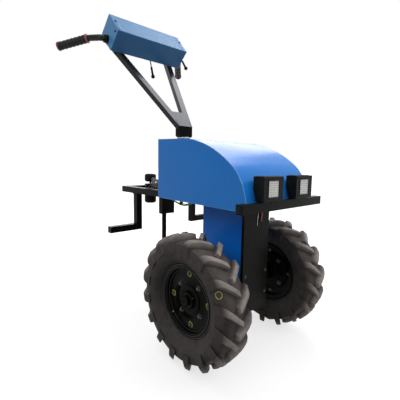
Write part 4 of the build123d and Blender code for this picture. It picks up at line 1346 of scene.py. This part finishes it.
class Rear:
    """Hitch sleeve, knob, latch, stake and what holds it."""

    HITCH_Y = 0.556
    HITCH_TOP = 0.545
    KNOB_LOW = 0.555
    KNOB_TOP = 0.592
    KNOB_RADIUS = 0.0275
    FLUTES = 12
    WASHER: Outline = (
        (-0.0002, 0.0052), (-0.0002, 0.0120), (0.0022, 0.0120), (0.0026, 0.0112), (0.0026, 0.0052),
    )
    LATCH_X = (-0.0130, -0.0070)
    PIVOT = (0.488, 0.5540)
    SLEEVE_WELD = 0.0283
    WELD_STEPS = 14
    CROSS_REAR = 0.5445
    # X and Y of the stake's middle line
    STAKE = (-0.014, 0.425)
    STAKE_TOP = 0.590
    STAKE_RADIUS = 0.010

    def build(self) -> None:
        """Makes the rear end."""
        self._knob()
        self._latch()
        self._stake()
        LOG.info("rear")

    def _knob(self) -> None:
        """Knob with softened edges and grip flutes, on its neck, in place of the node."""
        r, low, high = self.KNOB_RADIUS, self.KNOB_LOW, self.KNOB_TOP
        outline = (
            (self.HITCH_TOP, 0.0050), (low, 0.0050), (low, r - 0.0068), (low + 0.0012, r - 0.0052),
            (low + 0.0055, r - 0.0008), (low + 0.0075, r), (high - 0.0075, r),
            (high - 0.0055, r - 0.0008), (high - 0.0012, r - 0.0054), (high, r - 0.0080),
            (high, r - 0.0140), (high - 0.0012, r - 0.0160), (high - 0.0012, 0.0030),
        )
        form = Form().turned((0, self.HITCH_Y, 0), UP, outline, 72)
        for vert in form.mesh.verts:
            spot = Vector((vert.co.x, vert.co.y - self.HITCH_Y, 0))
            if spot.length > r - 0.0010 and low < vert.co.z < high:
                turn = math.atan2(spot.y, spot.x)
                shrink = 0.0009 * max(0.0, math.cos(self.FLUTES * turn)) ** 2
                vert.co -= spot / spot.length * shrink
        piece = form.piece("rear_knob_turned", Body.CHASSIS, PLASTIC_BLACK, 40.0)
        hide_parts("rear_knob")
        washer = Form().turned((0, self.HITCH_Y, self.HITCH_TOP), UP, self.WASHER, 40, looped=True)
        washer.piece("knob_washer", Body.CHASSIS, ZINC)

    def _latch(self) -> None:
        """Pivot bolt of the upright latch plate, and the welds at the rear."""
        bolts, weld = Form(), Form()
        bolts.hexes((self.LATCH_X[0], *self.PIVOT), Side.RIGHT.out, 0.0050, 0.0046)
        bolts.hexes((self.LATCH_X[1], *self.PIVOT), Side.LEFT.out, 0.0050, 0.0050)
        bolts.piece("latch_bolt", Body.CHASSIS, ZINC)
        for x in self.LATCH_X:
            weld.bead((x, 0.466, 0.5412), (x, 0.520, 0.5412), 0.0017)
        for hand in HANDS:
            weld.bead((hand * 0.026, 0.5240, 0.5385), (hand * 0.0104, 0.5240, 0.5385), 0.0018)
            weld.bead((hand * 0.034, 0.4125, 0.5165), (hand * 0.034, 0.4125, 0.5405))
        for number in range(self.WELD_STEPS):
            spots = []
            for step in (number, number + 1):
                angle = math.radians(10 + 160 * step / 13)
                x, y = self.SLEEVE_WELD * math.cos(angle), self.SLEEVE_WELD * math.sin(angle)
                spots.append((x, self.HITCH_Y + y, 0.5163))
            if max(spot[1] for spot in spots) < self.CROSS_REAR:
                weld.bead(*spots, 0.0018)
        weld.piece("rear_welds", Body.CHASSIS, FRAME_BLACK, 60.0)

    def _stake(self) -> None:
        """Stake with its foot plate, in place of the node, and the clamp screws of its sleeve."""
        r, top = self.STAKE_RADIUS, self.STAKE_TOP
        outline = (
            (0.0, 0.0290), (0.0010, 0.0300), (0.0050, 0.0300), (0.0060, 0.0290),
            (0.0062, r + 0.0035), (0.0080, r + 0.0014), (0.0098, r), (top - 0.0020, r),
            (top, r - 0.0020),
        )
        form = Form().turned((*self.STAKE, 0), UP, outline, 48)
        piece = form.piece("stake_turned", Body.STAKE, FRAME_BLACK, 40.0)
        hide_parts("stake_rod")
        screws = Form()
        for z in (0.448, 0.486):
            screws.hexes((self.STAKE[0], 0.4375, z), BACK, 0.0060, 0.0080, 1.3)
        screws.piece("sleeve_screws", Body.CHASSIS, DARK_STEEL)


class Handlebar:
    """Stem, arms, control box, grips and levers, placed in the arms' sloping plane."""

    # Start of the sloping plane
    FOOT: Point = (0.0, 0.295, 0.796)
    SLOPE_DEG = 48.3
    # Front edge of the control box along the slope, and the box's sizes
    BOX_START = 0.4334
    BOX_DEPTH = 0.117
    BOX_HEIGHT = 0.096
    BOX_HALF = 0.184
    TUBE_RADIUS = 0.013
    # Handle tube's place along from the box's front edge and above the plane
    TUBE_PLACE = (0.057, 0.0153)
    COLLAR: Outline = (
        (0.0, 0.0128), (0.0, 0.0180), (0.0030, 0.0180), (0.0038, 0.0168), (0.0120, 0.0165),
        (0.0150, 0.0158), (0.0160, 0.0145), (0.0160, 0.0128),
    )
    # Ends of a grip: out from the box end, along and above
    GRIP_ENDS: tuple[Point, Point] = ((0.068, 0.097, -0.030), (0.147, 0.1386, -0.1173))
    GRIP_RADIUS = 0.016
    RIB_RADIUS = 0.0176
    RIBS = 7
    FLUTES = 20
    # Share of the pitch and of the rib's height
    RIB: Outline = (
        (0.10, 0.0), (0.16, 0.35), (0.24, 0.8), (0.36, 1.0), (0.64, 1.0), (0.76, 0.8),
        (0.84, 0.35), (0.90, 0.0),
    )
    INNER_RING: Outline = (
        (-0.0090, 0.0132), (-0.0090, 0.0176), (-0.0078, 0.0188), (-0.0015, 0.0190), (0.0, 0.0180),
        (0.0, 0.0132),
    )
    OUTER_RING: Outline = (
        (0.0, 0.0180), (0.0012, 0.0189), (0.0050, 0.0190), (0.0076, 0.0178), (0.0088, 0.0150),
        (0.0090, 0.0110), (0.0078, 0.0095), (0.0078, 0.0030),
    )
    STEM_RING: Outline = (
        (0.7482, 0.0205), (0.7482, 0.0276), (0.7488, 0.0282), (0.7508, 0.0282), (0.7514, 0.0276),
        (0.7514, 0.0205),
    )
    POST_Y = 0.309
    ARM_LENGTH = 0.532
    # Across at the foot and at the head of an arm: its inner edge and its middle
    ARM_INNER = (0.0059, 0.1415)
    ARM_MIDDLE = (0.02065, 0.15625)
    ARM_OUTER = (0.0354, 0.1710)
    GUSSET = 0.086
    LEVER: Outline = (
        (-0.0010, 0.0062), (0.0040, 0.0062), (0.0070, 0.0046), (0.0100, 0.0034), (0.0130, 0.0025),
    )
    BOSS: Outline = ((0.0, 0.0080), (0.0108, 0.0080), (0.0122, 0.0070), (0.0125, 0.0030))
    BALL = 0.0090

    def build(self) -> None:
        """Makes the handlebar's pieces."""
        for side in Side:
            self._tube(side)
            self._grip(side)
            self._rings(side)
        self._box()
        self._joints()
        self._levers()
        LOG.info("handlebar")

    def place(self, across: float, along: float, above: float) -> Vector:
        """Finds a point of the sloping plane.

        Args:
            across: Its X.
            along: Its distance along the slope from the box's front edge.
            above: Its distance above the plane.

        Returns:
            The point in the frame of the model.
        """
        slope = math.radians(self.SLOPE_DEG)
        run = self.BOX_START + along
        y = run * math.cos(slope) - above * math.sin(slope)
        return Vector(self.FOOT) + Vector((across, y, run * math.sin(slope) + above * math.cos(slope)))

    @property
    def turn(self) -> Matrix:
        """Placing of forms that are given across, along and above."""
        start = self.place(0, 0, 0)
        along = (self.place(0, 1, 0) - start).normalized()
        above = (self.place(0, 0, 1) - start).normalized()
        columns = (Vector((1, 0, 0)), along, above)
        return Matrix.Translation(start) @ Matrix(columns).transposed().to_4x4()

    @staticmethod
    def _between(ends: tuple[float, float], along: float) -> float:
        """Value at a distance along an arm, from its values at foot and head."""
        return ends[0] + (ends[1] - ends[0]) * (along / Handlebar.ARM_LENGTH)

    def _grip_line(self, side: Side) -> tuple[Vector, Vector, float]:
        """Start, direction and length of one grip."""
        start, end = (
            self.place(side.value * (self.BOX_HALF + out), along, above)
            for out, along, above in self.GRIP_ENDS
        )
        return start, (end - start).normalized(), (end - start).length

    def _tube(self, side: Side) -> None:
        """Bent handle tube and its collar, in place of the many-sided node."""
        start, run, length = self._grip_line(side)
        corners = [
            self.place(side.value * (self.BOX_HALF - 0.044), *self.TUBE_PLACE),
            self.place(side.value * (self.BOX_HALF + 0.028), *self.TUBE_PLACE),
            start - run * 0.014,
            start + run * (length - 0.006),
        ]
        form = Form().swept(rounded(corners, 0.020, 10), self.TUBE_RADIUS, 32)
        piece = form.piece(f"handle_tube_bent_{side.word}", Body.HANDLEBAR, ARM_BLACK, 50.0)
        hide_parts(f"handle_tube_{side.word}")
        at = self.place(side.value * self.BOX_HALF, *self.TUBE_PLACE)
        collar = Form().turned(at, side.out, self.COLLAR, 48, looped=True)
        collar.piece(f"tube_collar_{side.word}", Body.HANDLEBAR, PLASTIC_BLACK)

    def _grip(self, side: Side) -> None:
        """Ribbed and fluted grip with its closed end."""
        start, run, length = self._grip_line(side)
        low, high = self.GRIP_RADIUS, self.RIB_RADIUS
        pitch = length / self.RIBS
        outline = [(0.0, 0.0128), (0.0, low + 0.0002), (0.0012, high)]
        for number in range(self.RIBS):
            outline += [((number + s) * pitch, low + lift * (high - low)) for s, lift in self.RIB]
        outline += [(length - 0.0012, high), (length, low), (length, 0.0060)]
        form = Form().turned(start, run, outline, 48)
        turn = run.to_track_quat("Z", "Y").to_matrix()
        for vert in form.mesh.verts:
            spot = turn.transposed() @ (vert.co - start)
            reach = math.hypot(spot.x, spot.y)
            if reach > high - 0.0004 and 0.004 < spot.z < length - 0.004:
                flute = math.cos(self.FLUTES * math.atan2(spot.y, spot.x))
                scale = 1 - 0.0007 * max(0.0, flute) / reach
                vert.co = start + turn @ Vector((spot.x * scale, spot.y * scale, spot.z))
        piece = form.piece(f"grip_ribbed_{side.word}", Body.HANDLEBAR, GRIP_BLACK, 40.0)
        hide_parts(f"grip_{side.word}")

    def _rings(self, side: Side) -> None:
        """Coloured rings at both ends of the grip, in place of the many-sided node."""
        start, run, length = self._grip_line(side)
        rings = Form().turned(start, run, self.INNER_RING, 48, looped=True)
        rings.turned(start, run, [(length + h, r) for h, r in self.OUTER_RING], 48)
        piece = rings.piece(f"grip_rings_turned_{side.word}", Body.HANDLEBAR, RING_RED, 40.0)
        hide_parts(f"grip_rings_{side.word}")

    def _box(self) -> None:
        """Screws, rolled end hems and thin end flanges of the control box."""
        screws, hems, flanges = Form(), Form(), Form()
        up = self.turn.to_3x3() @ UP
        top, half = self.BOX_HEIGHT, self.BOX_HALF
        r = 0.0012
        hem = (
            (0.060, top - r), (r, top - r), (r, r), (self.BOX_DEPTH - r, r),
            (self.BOX_DEPTH - r, top - r), (0.060, top - r),
        )
        for side in Side:
            hand = side.value
            screws.hexes(self.place(hand * half, 0.019, 0.078), side.out, 0.0036, 0.0026)
            screws.hexes(self.place(hand * 0.1715, 0.069, top), up, 0.0040, 0.0030)
            corners = [self.place(hand * (half - 0.0034), *spot) for spot in hem]
            hems.swept(rounded(corners, 0.003, 4), r, 8)
        for low, high in ((-half + 0.0008, -0.159), (0.159, half - 0.0008)):
            ends = (low, 0.0010, top - 0.0008), (high, 0.1145, top + 0.0003)
            flanges.block(*ends, 0.0003, self.turn)
        screws.piece("box_screws", Body.HANDLEBAR, PLASTIC_BLACK)
        hems.piece("box_hems", Body.HANDLEBAR, BOX_BLUE, 60.0)
        flanges.piece("box_flanges", Body.HANDLEBAR, BOX_BLUE)

    def _joints(self) -> None:
        """Bright ring under the stem, welds of arms and stem, stem cover and arm bolts."""
        ring = Form().turned((0, self.POST_Y, 0), UP, self.STEM_RING, 64, looped=True)
        ring.piece("stem_ring", Body.HANDLEBAR, ZINC)
        welds, bolts = Form(), Form()
        start = -self.BOX_START
        down = self.turn.to_3x3() @ DOWN
        for hand in HANDS:
            edges = [
                self.place(hand * self._between(ends, self.BOX_START), -0.0002, 0.0)
                for ends in (self.ARM_INNER, self.ARM_OUTER)
            ]
            welds.bead(*edges, 0.0022)
            welds.bead((hand * 0.035, 0.296, 0.7962), (hand * 0.035, 0.318, 0.8205), 0.0020)
            for along in (0.030, 0.075):
                across = hand * self._between(self.ARM_MIDDLE, self.BOX_START + along)
                bolts.hexes(self.place(across, along, -0.021), down, 0.0052, 0.0048)
        reach = self._between(self.ARM_INNER, self.GUSSET)
        spots = [self.place(x, start + self.GUSSET, -0.0025) for x in (-reach, reach)]
        welds.bead(*spots, 0.0022)
        welds.piece("handle_welds", Body.HANDLEBAR, ARM_BLACK, 60.0)
        cover = Form().block(
            (-0.0346, start + 0.0004, -0.0012), (0.0346, start + 0.0400, 0.0004), 0.0003, self.turn
        )
        cover.piece("stem_cover", Body.HANDLEBAR, ARM_BLACK, 8.0)
        bolts.piece("arm_bolts", Body.HANDLEBAR, ZINC)

    def _levers(self) -> None:
        """Round levers with sleeves and balls, in place of the many-sided nodes."""
        rows = (
            ("control_lever_centre", 0.030, (0.0300, 0.0), (-0.0558, -0.0405)),
            ("control_lever_end", self.BOX_HALF + 0.010, (0.0579, 0.0453), (-0.0404, 0.0354)),
        )
        ball = self.BALL
        for name, across, root_place, tip_place in rows:
            root, tip = self.place(across, *root_place), self.place(across, *tip_place)
            length = (tip - root).length
            sleeve = length * 0.50
            outline = [
                *self.LEVER, (sleeve, 0.0025), (sleeve + 0.0008, 0.0046), (sleeve + 0.0022, 0.0050),
                (length - ball * 0.94, 0.0050),
            ]
            for turn in (math.pi * k / 14 for k in range(3, 14)):
                outline.append((length - ball * math.cos(turn), max(ball * math.sin(turn), 0.0004)))
            form = Form().turned(root, (tip - root).normalized(), outline, 32)
            if name.endswith("end"):
                at = self.place(self.BOX_HALF - 0.0002, *root_place)
                form.turned(at, Side.LEFT.out, self.BOSS, 32)
            piece = form.piece(f"{name}_turned", Body.HANDLEBAR, PLASTIC_BLACK, 40.0)
            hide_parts(name)


def dress_nodes(nodes: dict[str, bpy.types.Object]) -> None:
    """Paints every CAD node, and breaks the sharp edges of some with a small bevel.

    Args:
        nodes: Nodes by name.
    """
    for name, node in nodes.items():
        finish = next((f for start, f in NODE_FINISHES if name.startswith(start)), FRAME_BLACK)
        finish.paint(node)
        if name.startswith(SOFTENED):
            bevel = node.modifiers.new("broken_edges", "BEVEL")
            bevel.width = 0.0012
            bevel.segments = 2
            bevel.limit_method = "ANGLE"
            bevel.angle_limit = math.radians(50)
            bevel.harden_normals = False
            bevel.use_clamp_overlap = True


def main() -> None:
    """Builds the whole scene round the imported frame."""
    logging.basicConfig(level=logging.INFO)
    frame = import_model()
    bpy.context.scene.view_settings.view_transform = "Standard"
    Studio().build()
    dress_nodes(frame["nodes"])
    for side in Side:
        Wheel(side).build()
        Lamp(side).build()
    for group in (Frame, Hood, Drive, Rear, Handlebar):
        group().build()


if __name__ == "__main__":
    main()
